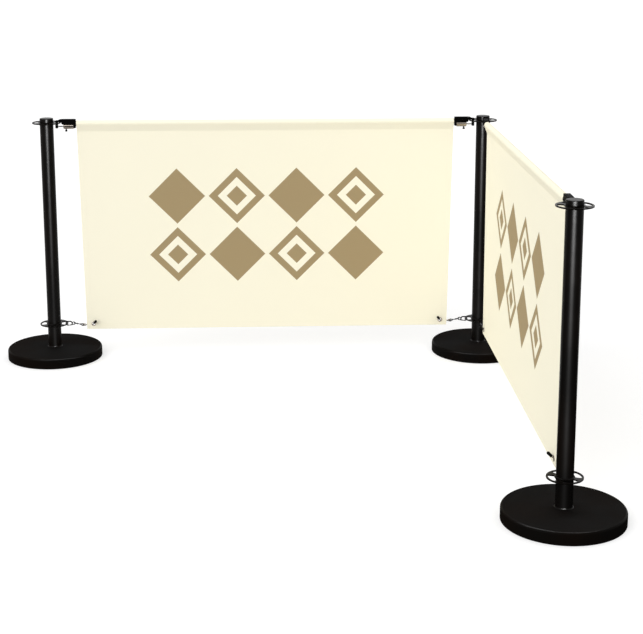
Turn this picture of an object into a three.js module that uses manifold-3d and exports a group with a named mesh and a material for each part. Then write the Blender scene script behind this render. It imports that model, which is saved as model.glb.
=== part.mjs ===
// Cafe barrier: three weighted posts carry two stretched banners, set out as an L.
// Millimetres, +Z up. The origin is on the floor, on the axis of the corner post.
import * as THREE from 'three';
import { mergeVertices } from 'three/addons/utils/BufferGeometryUtils.js';
import Module from 'manifold-3d';

const wasm = await Module();
wasm.setup();

// Setting out
const postSpacing = 1650;
const postHeight = 930;
const frontPanelTurn = 180; // degrees about Z, from +X
const sidePanelTurn = -90;
const rightPostTurn = 12; // how far the right post has been spun on its base
const fitGap = 0.2; // between pieces that bear on each other
const cutOverrun = 2; // how far a cut runs past the faces that it opens
const weldTolerance = 0.0002; // corners closer than this are one

// Post tube
const tubeDiameter = 50.8;
const tubeWall = 1.5;
const footFlare = 2.6; // the weld ring that stands out round the foot
const footFlareHeight = 5;

// Floor pad
const padInset = 5; // inside the rim of the cover
const padThickness = 3;
const padEdge = 1;

// Base weight
const weightPlay = 9.5; // from the weight to the inside of the cover
const weightThickness = 22;
const weightEdge = 4;
const bossInset = 3; // inside the seat of the cover
const bossDraft = 5;
const recessDiameter = 30; // for the head of the tie rod
const recessSpare = 1.5;

// Base cover
const coverDiameter = 360;
const coverRimHeight = 39;
const coverRise = 2; // the top climbs this much from rim to centre
const coverWall = 1.5;
const coverEdgeRadius = 8;
const coverLip = 1; // clear of the floor
const coverSeatDiameter = 66;

// Slotted plates
const plateThickness = 4;
const plateHubWidth = 3.6; // from the tube to the slots
const slotWidth = 18.8;
const plateRim = 5.5; // outside the slots
const slotSpan = 60; // degrees of arc
const slotCorner = 4;
const slotCount = 4;
const lowerPlateRise = 87; // above the base cover
const plateWeld = 2.4;

// Top cap
const capHeight = 15;
const capEdgeRadius = 2.5;
const capSpigotDiameter = 26;
const capSpigotLength = 10;

// Tie rod
const rodDiameter = 10;
const rodHole = 0.4; // all round
const rodHeadAcross = 17;
const rodHeadHeight = 7;
const rodGrip = 14; // length held in the cap

// Hook head
const headDrop = 4; // below the top of the post
const headWidth = 20;
const headEndWall = 7.5;
const headSkirt = 7; // how far the end wall hangs below the crossbar
const headChamfer = 7;
const headNose = 4;
const headBevel = 1.2;
const rimClearance = 2.5;
const fingerThickness = 10;
const fingerWidth = 10;
const fingerStandoff = 5; // from the finger to the rim
const fingerTail = 7; // below the bolt
const spigotLength = 30;
const spigotPlay = 0.2;

// Latch barrel and bolt
const barrelDiameter = 20;
const barrelLength = 38;
const barrelWall = 3.4;
const barrelEndWall = 4;
const barrelEdge = 1.2;
const barrelSetBack = 7; // behind the front of the head
const barrelDrop = 12.3; // axis, below the slotted plate
const cradleDepth = 2;
const boltDiameter = 5;
const boltPlay = 0.35; // all round
const boltEntry = 3; // into the finger
const boltCollarLength = 6;
const boltCollarSetBack = 3;
const latchTravel = 13;
const stemDiameter = 4;
const knobDiameter = 9.5;
const knobLength = 9;
const knobGap = 1;
const knobEdge = 1;

// Crossbar
const barDiameter = 20;
const barWall = 1.5;
const barDrop = 16.5; // axis, below the top of the head

// Banner
const bannerTopInset = 3; // from the hook head to the cloth
const bannerTaper = 14; // each side leans in by this much at the foot
const clothThickness = 1.2;
const sleeveEase = 0.3;

// Eyelet
const eyeletInset = 26;
const eyeletRise = 21;
const eyeletBore = 5.5;
const eyeletBarrelWall = 0.6;
const eyeletFlange = 4;
const eyeletFlangeThickness = 0.8;
const eyeletPlay = 0.2;

// Snap hook
const snapWire = 4.5;
const snapPlay = 0.6; // from the wire to the rim of the plate
const snapBendRadius = 7.5;
const snapArmLength = 8.5;
const snapNoseLength = 5;
const snapEyeWire = 3;
const snapEyeRadius = 5.4;
const snapEyeOverlap = 1.4;
const snapKnuckleDrop = 6;
const gateThickness = 3;
const gateWidth = 4.6;
const gatePin = 1.6;
const gatePlay = 0.3;
const gateOpening = 30; // degrees
const tongueThickness = 2;
const tongueRadius = 2.2;

// Corner hook
const hookWire = 4;
const hookEyeRadius = 6.4;
const hookEyeGap = 1.5;
const hookBendRadius = 6;
const hookBendAngle = 65; // degrees
const hookDepth = 7; // from the shank to the cloth, along the tip
const hookTilt = 40; // degrees that the tip climbs
const hookSeat = 3.2; // from the bore to the wire, where it crosses the cloth
const hookTipDiameter = 10;
const hookTipLength = 20;
const hookTipClearance = 0.5; // from the coating to the eyelet

// Tension cord
const cordDiameter = 3.5;
const cordFall = 3; // from the middle of the lower plate down to the eyelet
const cordPlay = 0.8;
const whipDiameter = 6.4;
const whipLength = 5;
const loopReach = 8;
const legShare = 0.45; // how far apart the legs enter the whipping, in cord radii
const loopOverlap = 6; // degrees that each half of a loop runs past the middle

// Fineness of the curved faces
const broadSides = 28;
const smallSides = 20;
const barSides = 16;
const boltSides = 12;
const ringSides = 10;
const wireSides = 5;
const cordSides = 5;
const wireSteps = 12;
const loopSteps = 4;
const bendSteps = 2;
const slotSteps = 4;

// Derived sizes of the post
const tubeRadius = tubeDiameter / 2;
const coverRadius = coverDiameter / 2;
const padRadius = coverRadius - padInset;
const weightRadius = coverRadius - coverWall - weightPlay;
const slotInner = tubeRadius + fitGap + plateHubWidth;
const slotOuter = slotInner + slotWidth;
const plateRadius = slotOuter + plateRim;
const weightBottom = padThickness + fitGap;
const weightTop = weightBottom + weightThickness;
const coverTop = coverRimHeight + coverRise;
const bossTop = coverTop - coverWall - fitGap;
const tubeBottom = coverTop + fitGap;
const capBottom = postHeight - capHeight;
const upperPlateTop = capBottom - fitGap;
const spigotBottom = upperPlateTop - capSpigotLength;
const upperPlateBottom = upperPlateTop - plateThickness;
const tubeTop = upperPlateBottom - fitGap;
const lowerPlateBottom = coverTop + lowerPlateRise;
const lowerPlateMiddle = lowerPlateBottom + plateThickness / 2;
const rodHoleRadius = rodDiameter / 2 + rodHole;
const recessDepth = rodHeadHeight + recessSpare;

// Derived sizes of a hook end, as distances from the axis of the post
const fingerOuter = slotOuter - fingerStandoff;
const fingerInner = fingerOuter - fingerThickness;
const headStart = plateRadius + rimClearance;
const barrelStart = headStart + barrelSetBack;
const barrelEnd = barrelStart + barrelLength;
const headEnd = barrelEnd + fitGap + headEndWall;
const headTop = postHeight - headDrop;
const armBottom = upperPlateTop + fitGap;
const boltAxis = upperPlateBottom - barrelDrop;
const fingerBottom = boltAxis - fingerTail;
const barrelRadius = barrelDiameter / 2;
const barrelBore = barrelRadius - barrelWall;
const headBottom = boltAxis + barrelRadius - cradleDepth;
const stemReach = barrelStart + barrelEndWall + boltCollarSetBack + boltCollarLength / 2;

// Derived sizes of the panel
const barRadius = barDiameter / 2;
const barBore = barRadius - barWall;
const barAxis = headTop - barDrop;
const sleeveInner = barRadius + sleeveEase;
const sleeveOuter = sleeveInner + clothThickness;
const bannerTop = barAxis + sleeveOuter;
const bannerTopEdge = headEnd + bannerTopInset;
const eyeletHeight = lowerPlateMiddle - cordFall;
const bannerBottom = eyeletHeight - eyeletRise;
const bannerHeight = bannerTop - bannerBottom;

const eyeletReach = sideEdgeAt(eyeletHeight) + eyeletInset;
const eyeletHole = (eyeletBore + eyeletBarrelWall + eyeletPlay) / Math.cos(Math.PI / boltSides);

const ringBearing = snapBendRadius - snapWire / 2 - snapPlay;
const snapBendReach = slotOuter + Math.sqrt(ringBearing ** 2 - (plateThickness / 2) ** 2);
const snapOuterReach = snapBendReach + snapArmLength + snapBendRadius;
const snapEyeReach = snapOuterReach + snapWire / 2 + snapEyeRadius - snapEyeOverlap;
const snapEyeFar = snapEyeReach + snapEyeRadius;
const knuckleHeight = lowerPlateMiddle - snapKnuckleDrop;
const noseEnd = snapBendReach + snapNoseLength;

const hookEyeReach = sideEdgeAt(eyeletHeight) - hookEyeRadius - hookWire / 2 - hookEyeGap;
const tilt = THREE.MathUtils.degToRad(hookTilt);
const lean = THREE.MathUtils.degToRad(hookBendAngle - 90);
const bendRise = hookBendRadius * (1 + Math.sin(lean));
const bendForth = hookBendRadius * Math.cos(lean) - (hookDepth - bendRise) * Math.tan(lean);
const hookCrossing = eyeletReach - (eyeletBore - hookWire / 2 - hookSeat);
const hookBendStart = hookCrossing - bendForth;
const eyeletFace = clothThickness / 2 + fitGap;
const eyeletFront = eyeletFace + eyeletFlangeThickness;
const tipSlant = Math.acos(Math.cos(lean) * Math.cos(tilt)); // from square to the cloth
const hookTipStart = eyeletFront + hookTipClearance + (hookTipDiameter / 2) * Math.sin(tipSlant);

// Finishes
const finishes = {
  powderCoat: { color: 0x141413, roughness: 0.42, metalness: 0.3 },
  castIron: { color: 0x2b2b2b, roughness: 0.85, metalness: 0.5 },
  rubber: { color: 0x1a1a1a, roughness: 0.9, metalness: 0 },
  zincSteel: { color: 0xa9aaa8, roughness: 0.35, metalness: 1 },
  chrome: { color: 0xd6d2cc, roughness: 0.08, metalness: 1 },
  blackSteel: { color: 0x0d0d0d, roughness: 0.35, metalness: 0.6 },
  cloth: { color: 0xfef9e3, roughness: 0.75, metalness: 0 },
  cord: { color: 0x55565a, roughness: 0.9, metalness: 0 },
};

// How far the side of the banner is from the axis of the post, at a height
function sideEdgeAt(height) {
  const share = (bannerTop - height) / bannerHeight;
  return bannerTopEdge + bannerTaper * share;
}

// Turns a three.js geometry into a closed solid with welded corners
function solid(geometry) {
  const bare = geometry.clone();
  bare.deleteAttribute('normal');
  bare.deleteAttribute('uv');
  const welded = mergeVertices(bare, weldTolerance);
  const corners = welded.index.array;
  const kept = [];
  for (let i = 0; i < corners.length; i += 3) {
    const [a, b, c] = [corners[i], corners[i + 1], corners[i + 2]];
    if (a !== b && b !== c && a !== c) kept.push(a, b, c);
  }
  const positions = welded.attributes.position.array;
  const mesh = new wasm.Mesh({
    numProp: 3,
    vertProperties: new Float32Array(positions),
    triVerts: new Uint32Array(facingOut(positions, kept)),
  });
  return new wasm.Manifold(mesh);
}

// Reverses the triangles of a body whose faces look inward
function facingOut(positions, corners) {
  const [a, b, c] = [new THREE.Vector3(), new THREE.Vector3(), new THREE.Vector3()];
  let volume = 0;
  for (let i = 0; i < corners.length; i += 3) {
    a.fromArray(positions, corners[i] * 3);
    b.fromArray(positions, corners[i + 1] * 3);
    c.fromArray(positions, corners[i + 2] * 3);
    volume += a.dot(b.cross(c));
  }
  return volume < 0 ? corners.slice().reverse() : corners;
}

// Turns a closed solid back into a three.js geometry
function surface(body) {
  const mesh = body.getMesh();
  const geometry = new THREE.BufferGeometry();
  geometry.setAttribute('position', new THREE.BufferAttribute(mesh.vertProperties, 3));
  geometry.setIndex(new THREE.BufferAttribute(mesh.triVerts, 1));
  geometry.computeVertexNormals();
  return geometry;
}

function joined(...bodies) {
  return bodies.reduce((whole, body) => whole.add(body));
}

function piece(name, body, finish) {
  const mesh = new THREE.Mesh(surface(body), new THREE.MeshStandardMaterial(finishes[finish]));
  mesh.name = name;
  return mesh;
}

// Revolves a profile of [radius, height] points about Z. A closed profile makes a ring.
function revolved(points, sides, closed) {
  const profile = points.map(([radius, height]) => new THREE.Vector2(radius, height));
  if (closed) profile.push(profile[0].clone());
  return solid(new THREE.LatheGeometry(profile, sides).rotateX(Math.PI / 2));
}

// Points of an arc in a profile, from one angle to another in degrees
function arcPoints(x, y, radius, from, to, steps) {
  return Array.from({ length: steps + 1 }, (_, i) => {
    const angle = THREE.MathUtils.degToRad(from + ((to - from) * i) / steps);
    return [x + radius * Math.cos(angle), y + radius * Math.sin(angle)];
  });
}

// Points of a full circle, without the first one again, its centre at a height
function circle(radius, sides, height = 0) {
  return arcPoints(0, height, radius, 0, 360 - 360 / sides, sides - 1);
}

// Extrudes an outline that is drawn in X and Z, to the same depth on both sides of Y = 0
function slab(shape, width, bevel = 0) {
  const geometry = new THREE.ExtrudeGeometry(shape, {
    depth: width - bevel * 2,
    bevelEnabled: bevel > 0,
    bevelThickness: bevel,
    bevelSize: bevel,
    bevelOffset: -bevel,
    bevelSegments: 1,
    curveSegments: wireSides,
  });
  return solid(geometry.translate(0, 0, bevel - width / 2).rotateX(Math.PI / 2));
}

function outline(points) {
  return new THREE.Shape(points.map(([x, y]) => new THREE.Vector2(x, y)));
}

// A round bar between two points
function rod(from, to, radius, sides) {
  const line = new THREE.LineCurve3(from, to);
  return tubeAlong(line, radius, 1, sides);
}

// A round bar along a curve
function tubeAlong(curve, radius, steps, sides) {
  return solid(new THREE.ExtrudeGeometry(outline(circle(radius, sides)), { steps, extrudePath: curve }));
}

function ringBody(centre, radius, wireRadius, facing) {
  const torus = new THREE.TorusGeometry(radius, wireRadius, wireSides, ringSides);
  const turn = new THREE.Quaternion().setFromUnitVectors(new THREE.Vector3(0, 0, 1), facing);
  torus.applyQuaternion(turn);
  return solid(torus.translate(centre.x, centre.y, centre.z));
}

// An arc in space, through two directions at right angles, angles in degrees
class Arc extends THREE.Curve {
  constructor(centre, first, second, radius, from, to) {
    super();
    Object.assign(this, { centre, first, second, radius, from, to });
  }

  getPoint(share, target = new THREE.Vector3()) {
    const angle = THREE.MathUtils.degToRad(this.from + (this.to - this.from) * share);
    target.copy(this.centre);
    target.addScaledVector(this.first, this.radius * Math.cos(angle));
    return target.addScaledVector(this.second, this.radius * Math.sin(angle));
  }
}

// A path made of lines and arcs that follow on from each other
function route(...curves) {
  const path = new THREE.CurvePath();
  curves.forEach((curve) => path.add(curve));
  return path;
}

// Floor pad: a rubber disc that the weight stands on
function floorPad() {
  const profile = [
    [0, 0],
    [padRadius - padEdge, 0],
    [padRadius, padEdge],
    [padRadius, padThickness],
    [0, padThickness],
  ];
  return revolved(profile, broadSides, false);
}

// Base weight: a cast disc with a boss under the tube and a recess for the rod's head
function baseWeight() {
  const radius = weightRadius;
  const boss = coverSeatDiameter / 2 - bossInset;
  const recess = recessDiameter / 2;
  const profile = [
    [recess, weightBottom],
    [radius - weightEdge, weightBottom],
    [radius, weightBottom + weightEdge],
    [radius, weightTop - weightEdge],
    [radius - weightEdge, weightTop],
    [boss + bossDraft, weightTop],
    [boss, bossTop],
    [rodHoleRadius, bossTop],
    [rodHoleRadius, weightBottom + recessDepth],
    [recess, weightBottom + recessDepth],
  ];
  return revolved(profile, barSides, true);
}

// Base cover: a spun shell, open below, with a level seat for the tube
function baseCover() {
  const radius = coverRadius;
  const seat = coverSeatDiameter / 2;
  const bend = coverEdgeRadius;
  const level = coverRimHeight - bend;
  const profile = [
    [rodHoleRadius, coverTop],
    [seat, coverTop],
    ...arcPoints(radius - bend, level, bend, 90, 0, bendSteps),
    [radius, coverLip],
    [radius - coverWall, coverLip],
    [radius - coverWall, level],
    [radius - bend, coverRimHeight - coverWall],
    [seat, coverTop - coverWall],
    [rodHoleRadius, coverTop - coverWall],
  ];
  return revolved(profile, broadSides, true);
}

function postTube() {
  const bore = tubeRadius - tubeWall;
  const profile = [
    [bore, tubeBottom],
    [tubeRadius + footFlare, tubeBottom],
    [tubeRadius + footFlare, tubeBottom + footFlareHeight - footFlare],
    [tubeRadius, tubeBottom + footFlareHeight],
    [tubeRadius, tubeTop],
    [bore, tubeTop],
  ];
  return revolved(profile, smallSides, true);
}

// One curved slot with rounded corners, centred on an angle in degrees
function slotPath(middle) {
  const half = slotSpan / 2;
  const outerCorner = slotOuter - slotCorner;
  const innerCorner = slotInner + slotCorner;
  const outerHalf = half - THREE.MathUtils.radToDeg(Math.asin(slotCorner / outerCorner));
  const innerHalf = half - THREE.MathUtils.radToDeg(Math.asin(slotCorner / innerCorner));
  const corner = (reach, angle, from, to) => {
    const [[x, y]] = arcPoints(0, 0, reach, middle + angle, middle + angle, 1);
    return arcPoints(x, y, slotCorner, middle + from, middle + to, bendSteps);
  };
  return outline([
    ...arcPoints(0, 0, slotOuter, middle - outerHalf, middle + outerHalf, slotSteps),
    ...corner(outerCorner, outerHalf, outerHalf, half + 90).slice(1),
    ...corner(innerCorner, innerHalf, half + 90, innerHalf + 180),
    ...arcPoints(0, 0, slotInner, middle + innerHalf, middle - innerHalf, bendSteps).slice(1),
    ...corner(innerCorner, -innerHalf, 180 - innerHalf, 270 - half).slice(1),
    ...corner(outerCorner, -outerHalf, -half - 90, -outerHalf).slice(0, -1),
  ]);
}

// A slotted plate with a hole in the middle, standing on a height
function slottedPlate(bottom, holeRadius) {
  const shape = outline(circle(plateRadius, broadSides));
  shape.holes.push(outline(circle(holeRadius, smallSides)));
  for (let i = 0; i < slotCount; i += 1) {
    shape.holes.push(slotPath((i / slotCount) * 360));
  }
  const flat = { depth: plateThickness, bevelEnabled: false };
  return solid(new THREE.ExtrudeGeometry(shape, flat).translate(0, 0, bottom));
}

// Lower plate: it slips over the tube and is welded on its upper face
function lowerPlate() {
  const bore = tubeRadius + fitGap;
  const top = lowerPlateBottom + plateThickness;
  const middle = lowerPlateMiddle;
  const bead = [[bore, middle], [bore + plateWeld, middle], [bore + plateWeld, top], [bore, top + plateWeld]];
  return joined(slottedPlate(lowerPlateBottom, bore), revolved(bead, smallSides, true));
}

// Upper plate: clamped between the tube and the cap
function upperPlate() {
  return slottedPlate(upperPlateBottom, capSpigotDiameter / 2 + fitGap);
}

// Top cap: it locates the plate and takes the thread of the tie rod
function topCap() {
  const spigot = capSpigotDiameter / 2;
  const bend = capEdgeRadius;
  const profile = [
    [0, spigotBottom + rodGrip],
    [rodHoleRadius, spigotBottom + rodGrip],
    [rodHoleRadius, spigotBottom],
    [spigot, spigotBottom],
    [spigot, capBottom],
    [tubeRadius, capBottom],
    ...arcPoints(tubeRadius - bend, postHeight - bend, bend, 0, 90, bendSteps),
    [0, postHeight],
  ];
  return revolved(profile, smallSides, false);
}

// Tie rod: it draws the cap, the plate, the tube and the base together
function tieRod() {
  const headTopHeight = weightBottom + recessDepth - fitGap;
  const headBottomHeight = headTopHeight - rodHeadHeight;
  const end = spigotBottom + rodGrip - fitGap;
  const corner = rodHeadAcross / Math.sqrt(3);
  const head = new THREE.CylinderGeometry(corner, corner, rodHeadHeight, 6).rotateX(Math.PI / 2);
  head.translate(0, 0, headBottomHeight + rodHeadHeight / 2);
  const middle = headTopHeight - rodHeadHeight / 2;
  const shank = [[0, middle], [rodDiameter / 2, middle], [rodDiameter / 2, end], [0, end]];
  return joined(solid(head), revolved(shank, boltSides, false));
}

function post(name) {
  const group = new THREE.Group();
  group.name = `${name}_post`;
  group.add(
    piece(`${name}_floor_pad`, floorPad(), 'rubber'),
    piece(`${name}_base_weight`, baseWeight(), 'castIron'),
    piece(`${name}_base_cover`, baseCover(), 'powderCoat'),
    piece(`${name}_post_tube`, postTube(), 'powderCoat'),
    piece(`${name}_lower_plate`, lowerPlate(), 'powderCoat'),
    piece(`${name}_upper_plate`, upperPlate(), 'powderCoat'),
    piece(`${name}_top_cap`, topCap(), 'powderCoat'),
    piece(`${name}_tie_rod`, tieRod(), 'zincSteel'),
  );
  return group;
}

// Hook head: a claw that drops through a slot, a cradle for the barrel and a spigot for the bar
function hookHead() {
  const claw = outline([
    [fingerInner, fingerBottom],
    [fingerOuter, fingerBottom],
    [fingerOuter, armBottom],
    [headStart + headNose, armBottom],
    [headStart + headNose, headTop],
    [fingerOuter + headChamfer, headTop],
    [fingerOuter, headTop - headNose],
    [fingerInner, headTop - headNose],
  ]);
  const block = outline([
    [headStart, headBottom + headNose],
    [headStart + headNose, headBottom],
    [barrelEnd + fitGap, headBottom],
    [barrelEnd + fitGap, barAxis - barRadius - headSkirt],
    [headEnd, barAxis - barRadius - headSkirt],
    [headEnd, headTop],
    [headStart - rimClearance, headTop],
    [headStart - rimClearance, armBottom],
    [headStart, armBottom],
  ]);
  const spigot = barBore - spigotPlay;
  const body = joined(
    slab(claw, fingerWidth),
    slab(block, headWidth, headBevel),
    rod(along(headEnd - headEndWall / 2, barAxis), along(headEnd + spigotLength, barAxis), spigot, boltSides),
  );
  const cradle = rod(along(barrelStart - barrelEndWall, boltAxis), along(barrelEnd + fitGap, boltAxis),
    (barrelRadius + fitGap) / Math.cos(Math.PI / barSides), barSides);
  const boltHole = rod(along(fingerOuter - boltEntry - fitGap, boltAxis), along(headStart, boltAxis),
    boltDiameter / 2 + boltPlay, boltSides);
  return body.subtract(cradle).subtract(boltHole);
}

// A point in the middle plane of a panel, at a reach from the post and a height
function along(reach, height) {
  return new THREE.Vector3(reach, 0, height);
}

// Lays a body that was revolved about Z along X, with its foot at a reach on an axis height
function laid(body, reach, height) {
  return body.rotate([0, 90, 0]).translate([reach, 0, height]);
}

// Latch barrel: a closed tube with a bush in front and a slot below for the stem
function latchBarrel() {
  const hole = boltDiameter / 2 + boltPlay;
  const far = barrelLength - barrelEndWall;
  const edge = barrelEdge;
  const profile = [
    [hole, 0],
    [barrelRadius - edge, 0],
    [barrelRadius, edge],
    [barrelRadius, barrelLength - edge],
    [barrelRadius - edge, barrelLength],
    [0, barrelLength],
    [0, far],
    [barrelBore, far],
    [barrelBore, barrelEndWall],
    [hole, barrelEndWall],
  ];
  const shell = revolved(profile, barSides, true);
  const slotWidth = stemDiameter + boltPlay * 2;
  const slotLength = latchTravel + slotWidth;
  const slot = new THREE.BoxGeometry(slotLength, slotWidth, barrelRadius);
  slot.translate(stemReach + latchTravel / 2, 0, boltAxis - barrelRadius);
  return laid(shell, barrelStart, boltAxis).subtract(solid(slot));
}

// Latch bolt: a pin with a collar that slides in the barrel, and a knob on a stem
function latchBolt() {
  const tip = fingerOuter - boltEntry;
  const collarEnd = stemReach + boltCollarLength / 2;
  const pin = rod(along(tip, boltAxis), along(collarEnd - fitGap, boltAxis), boltDiameter / 2, boltSides);
  const collar = rod(along(collarEnd - boltCollarLength, boltAxis), along(collarEnd, boltAxis),
    barrelBore - boltPlay, boltSides);
  const knobTop = boltAxis - barrelRadius - knobGap;
  const stemFoot = along(stemReach, knobTop - knobEdge);
  const stem = rod(along(stemReach, boltAxis), stemFoot, stemDiameter / 2, wireSides);
  const radius = knobDiameter / 2;
  const profile = [
    [0, knobTop - knobLength],
    [radius - knobEdge, knobTop - knobLength],
    [radius, knobTop - knobLength + knobEdge],
    [radius, knobTop - knobEdge],
    [radius - knobEdge, knobTop],
    [0, knobTop],
  ];
  const knob = revolved(profile, boltSides, false).translate([stemReach, 0, 0]);
  return joined(pin, collar, stem, knob);
}

// Snap hook: a bent wire round the rim of the lower plate, with an eye for the cord
function snapHook() {
  const [x, z] = [new THREE.Vector3(1, 0, 0), new THREE.Vector3(0, 0, 1)];
  const middle = lowerPlateMiddle;
  const [below, above] = [middle - snapBendRadius, middle + snapBendRadius];
  const outerBend = snapOuterReach - snapBendRadius;
  const path = route(
    new THREE.LineCurve3(along(noseEnd, below), along(snapBendReach, below)),
    new Arc(along(snapBendReach, middle), x, z, snapBendRadius, 270, 90),
    new THREE.LineCurve3(along(snapBendReach, above), along(outerBend, above)),
    new Arc(along(outerBend, middle), x, z, snapBendRadius, 90, 0),
  );
  const facing = new THREE.Vector3(0, 1, 0);
  const eye = ringBody(along(snapEyeReach, middle), snapEyeRadius, snapEyeWire / 2, facing);
  const tongue = outline([
    [snapOuterReach - tongueRadius, knuckleHeight],
    ...arcPoints(snapOuterReach, knuckleHeight, tongueRadius, 180, 360, bendSteps * 3),
    [snapOuterReach + tongueRadius, middle],
    [snapOuterReach - tongueRadius, middle],
  ]);
  const holeRadius = (gatePin + gatePlay) / 2 / Math.cos(Math.PI / wireSides); // to its flats
  const pinHole = acrossBar(snapOuterReach, knuckleHeight, holeRadius, snapWire, wireSides);
  const wire = tubeAlong(path, snapWire / 2, wireSteps, wireSides);
  return joined(wire, eye, slab(tongue, tongueThickness)).subtract(pinHole);
}

// A round bar across the panel
function acrossBar(reach, height, radius, width, sides) {
  const [near, far] = [along(reach, height), along(reach, height)];
  near.y = -width / 2;
  far.y = width / 2;
  return rod(near, far, radius, sides);
}

// Snap gate: a fork that turns on the tongue and shuts against the nose
function snapGate() {
  const half = gateThickness / 2;
  const level = lowerPlateMiddle - snapBendRadius;
  const opening = THREE.MathUtils.degToRad(gateOpening);
  const fall = knuckleHeight - (level - half);
  const shutReach = snapOuterReach - noseEnd - gatePlay;
  const tip = snapOuterReach - Math.sqrt(shutReach ** 2 - fall ** 2); // its corner clears the nose
  const bar = outline([
    ...arcPoints(snapOuterReach, knuckleHeight, half, -90, 90, bendSteps * 2),
    [tip, level + half],
    [tip, level - half],
  ]);
  const fork = slab(bar, gateWidth);
  const notchLength = (tongueRadius + gatePlay + half * Math.sin(opening)) / Math.cos(opening);
  const notch = new THREE.BoxGeometry(notchLength * 2, tongueThickness + gatePlay * 2, snapWire * 2);
  notch.translate(snapOuterReach, 0, knuckleHeight);
  const pin = acrossBar(snapOuterReach, knuckleHeight, gatePin / 2, gateWidth - gatePlay, wireSides);
  return fork.subtract(solid(notch)).add(pin);
}

// Which way the tip of a corner hook points: up, and towards the face of the cloth
function tipDirection(facing) {
  return new THREE.Vector3(0, facing * Math.cos(tilt), Math.sin(tilt));
}

// Where the shank of the corner hook runs, behind the cloth
function shankPoint(reach, tipway) {
  return along(reach, eyeletHeight).addScaledVector(tipway, -hookDepth);
}

// Corner hook: an eye, a shank behind the cloth and a tip that comes up through the eyelet
function cornerHook(tipway) {
  const x = new THREE.Vector3(1, 0, 0);
  const bendCentre = shankPoint(hookBendStart, tipway).addScaledVector(tipway, hookBendRadius);
  const bend = new Arc(bendCentre, x, tipway, hookBendRadius, -90, hookBendAngle - 90);
  const onward = tipway.clone().multiplyScalar(Math.cos(lean)).addScaledVector(x, -Math.sin(lean));
  const bendEnd = bend.getPoint(1);
  const standoff = (hookTipStart / Math.cos(tilt) + hookDepth - bendRise) / Math.cos(lean);
  const tipStart = bendEnd.clone().addScaledVector(onward, standoff);
  const wireEnd = tipStart.clone().addScaledVector(onward, hookTipLength / 2);
  const shankStart = shankPoint(hookEyeReach + hookEyeRadius, tipway);
  const path = route(
    new THREE.LineCurve3(shankStart, shankPoint(hookBendStart, tipway)),
    bend,
    new THREE.LineCurve3(bendEnd, wireEnd),
  );
  const facing = new THREE.Vector3().crossVectors(x, tipway).normalize();
  const eye = ringBody(shankPoint(hookEyeReach, tipway), hookEyeRadius, hookWire / 2, facing);
  return joined(tubeAlong(path, hookWire / 2, wireSteps, wireSides), eye, coatedTip(tipStart, onward));
}

// The coating on the tip of the corner hook, round at its far end
function coatedTip(start, direction) {
  const radius = hookTipDiameter / 2;
  const profile = [
    [0, 0],
    [radius - knobEdge, 0],
    [radius, knobEdge],
    ...arcPoints(0, hookTipLength - radius, radius, 0, 90, bendSteps),
  ];
  const upright = new THREE.LatheGeometry(profile.map(([r, h]) => new THREE.Vector2(r, h)), boltSides);
  const turn = new THREE.Quaternion().setFromUnitVectors(new THREE.Vector3(0, 1, 0), direction);
  upright.applyQuaternion(turn);
  return solid(upright.translate(start.x, start.y, start.z));
}

// One end of the cord: half of a loop round an eye, on the side that across points to
function halfLoop(centre, onward, across, radius) {
  const spread = (cordDiameter / 2) * legShare;
  const reach = Math.hypot(loopReach, spread);
  const tangent = THREE.MathUtils.radToDeg(Math.atan2(spread, loopReach) + Math.acos(radius / reach));
  const arc = new Arc(centre, onward, across, radius, tangent, 180 + loopOverlap);
  const leg = centre.clone().addScaledVector(onward, loopReach).addScaledVector(across, spread);
  const path = route(new THREE.LineCurve3(leg, arc.getPoint(0)), arc);
  return tubeAlong(path, cordDiameter / 2, loopSteps, cordSides);
}

function cordLoop(centre, onward, wireTangent, radius) {
  const across = new THREE.Vector3().crossVectors(wireTangent, onward).normalize();
  const back = across.clone().negate();
  const whipStart = centre.clone().addScaledVector(onward, loopReach - cordDiameter / 2);
  const whipEnd = whipStart.clone().addScaledVector(onward, whipLength);
  return joined(
    halfLoop(centre, onward, across, radius),
    halfLoop(centre, onward, back, radius),
    rod(whipStart, whipEnd, whipDiameter / 2, cordSides),
  );
}

// Tension cord: a short elastic cord with a whipped loop at each end
function tensionCord(tipway) {
  const near = along(snapEyeFar, lowerPlateMiddle);
  const far = shankPoint(hookEyeReach - hookEyeRadius, tipway);
  const onward = far.clone().sub(near).normalize();
  const backward = onward.clone().negate();
  const clearance = cordDiameter / 2 + cordPlay;
  const run = rod(
    near.clone().addScaledVector(onward, loopReach),
    far.clone().addScaledVector(backward, loopReach),
    cordDiameter / 2,
    cordSides,
  );
  return joined(
    cordLoop(near, onward, new THREE.Vector3(0, 0, 1), snapEyeWire / 2 + clearance),
    cordLoop(far, backward, tipway, hookWire / 2 + clearance),
    run,
  );
}

// Eyelet: a rolled ring that grips both faces of the cloth
function eyelet() {
  const wall = eyeletBore + eyeletBarrelWall;
  const profile = [
    [eyeletBore, -eyeletFront],
    [eyeletBore + eyeletFlange, -eyeletFront],
    [eyeletBore + eyeletFlange, -eyeletFace],
    [wall, -eyeletFace],
    [wall, eyeletFace],
    [eyeletBore + eyeletFlange, eyeletFace],
    [eyeletBore + eyeletFlange, eyeletFront],
    [eyeletBore, eyeletFront],
  ];
  return revolved(profile, ringSides, true).rotate([90, 0, 0]).translate([eyeletReach, 0, eyeletHeight]);
}

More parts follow.
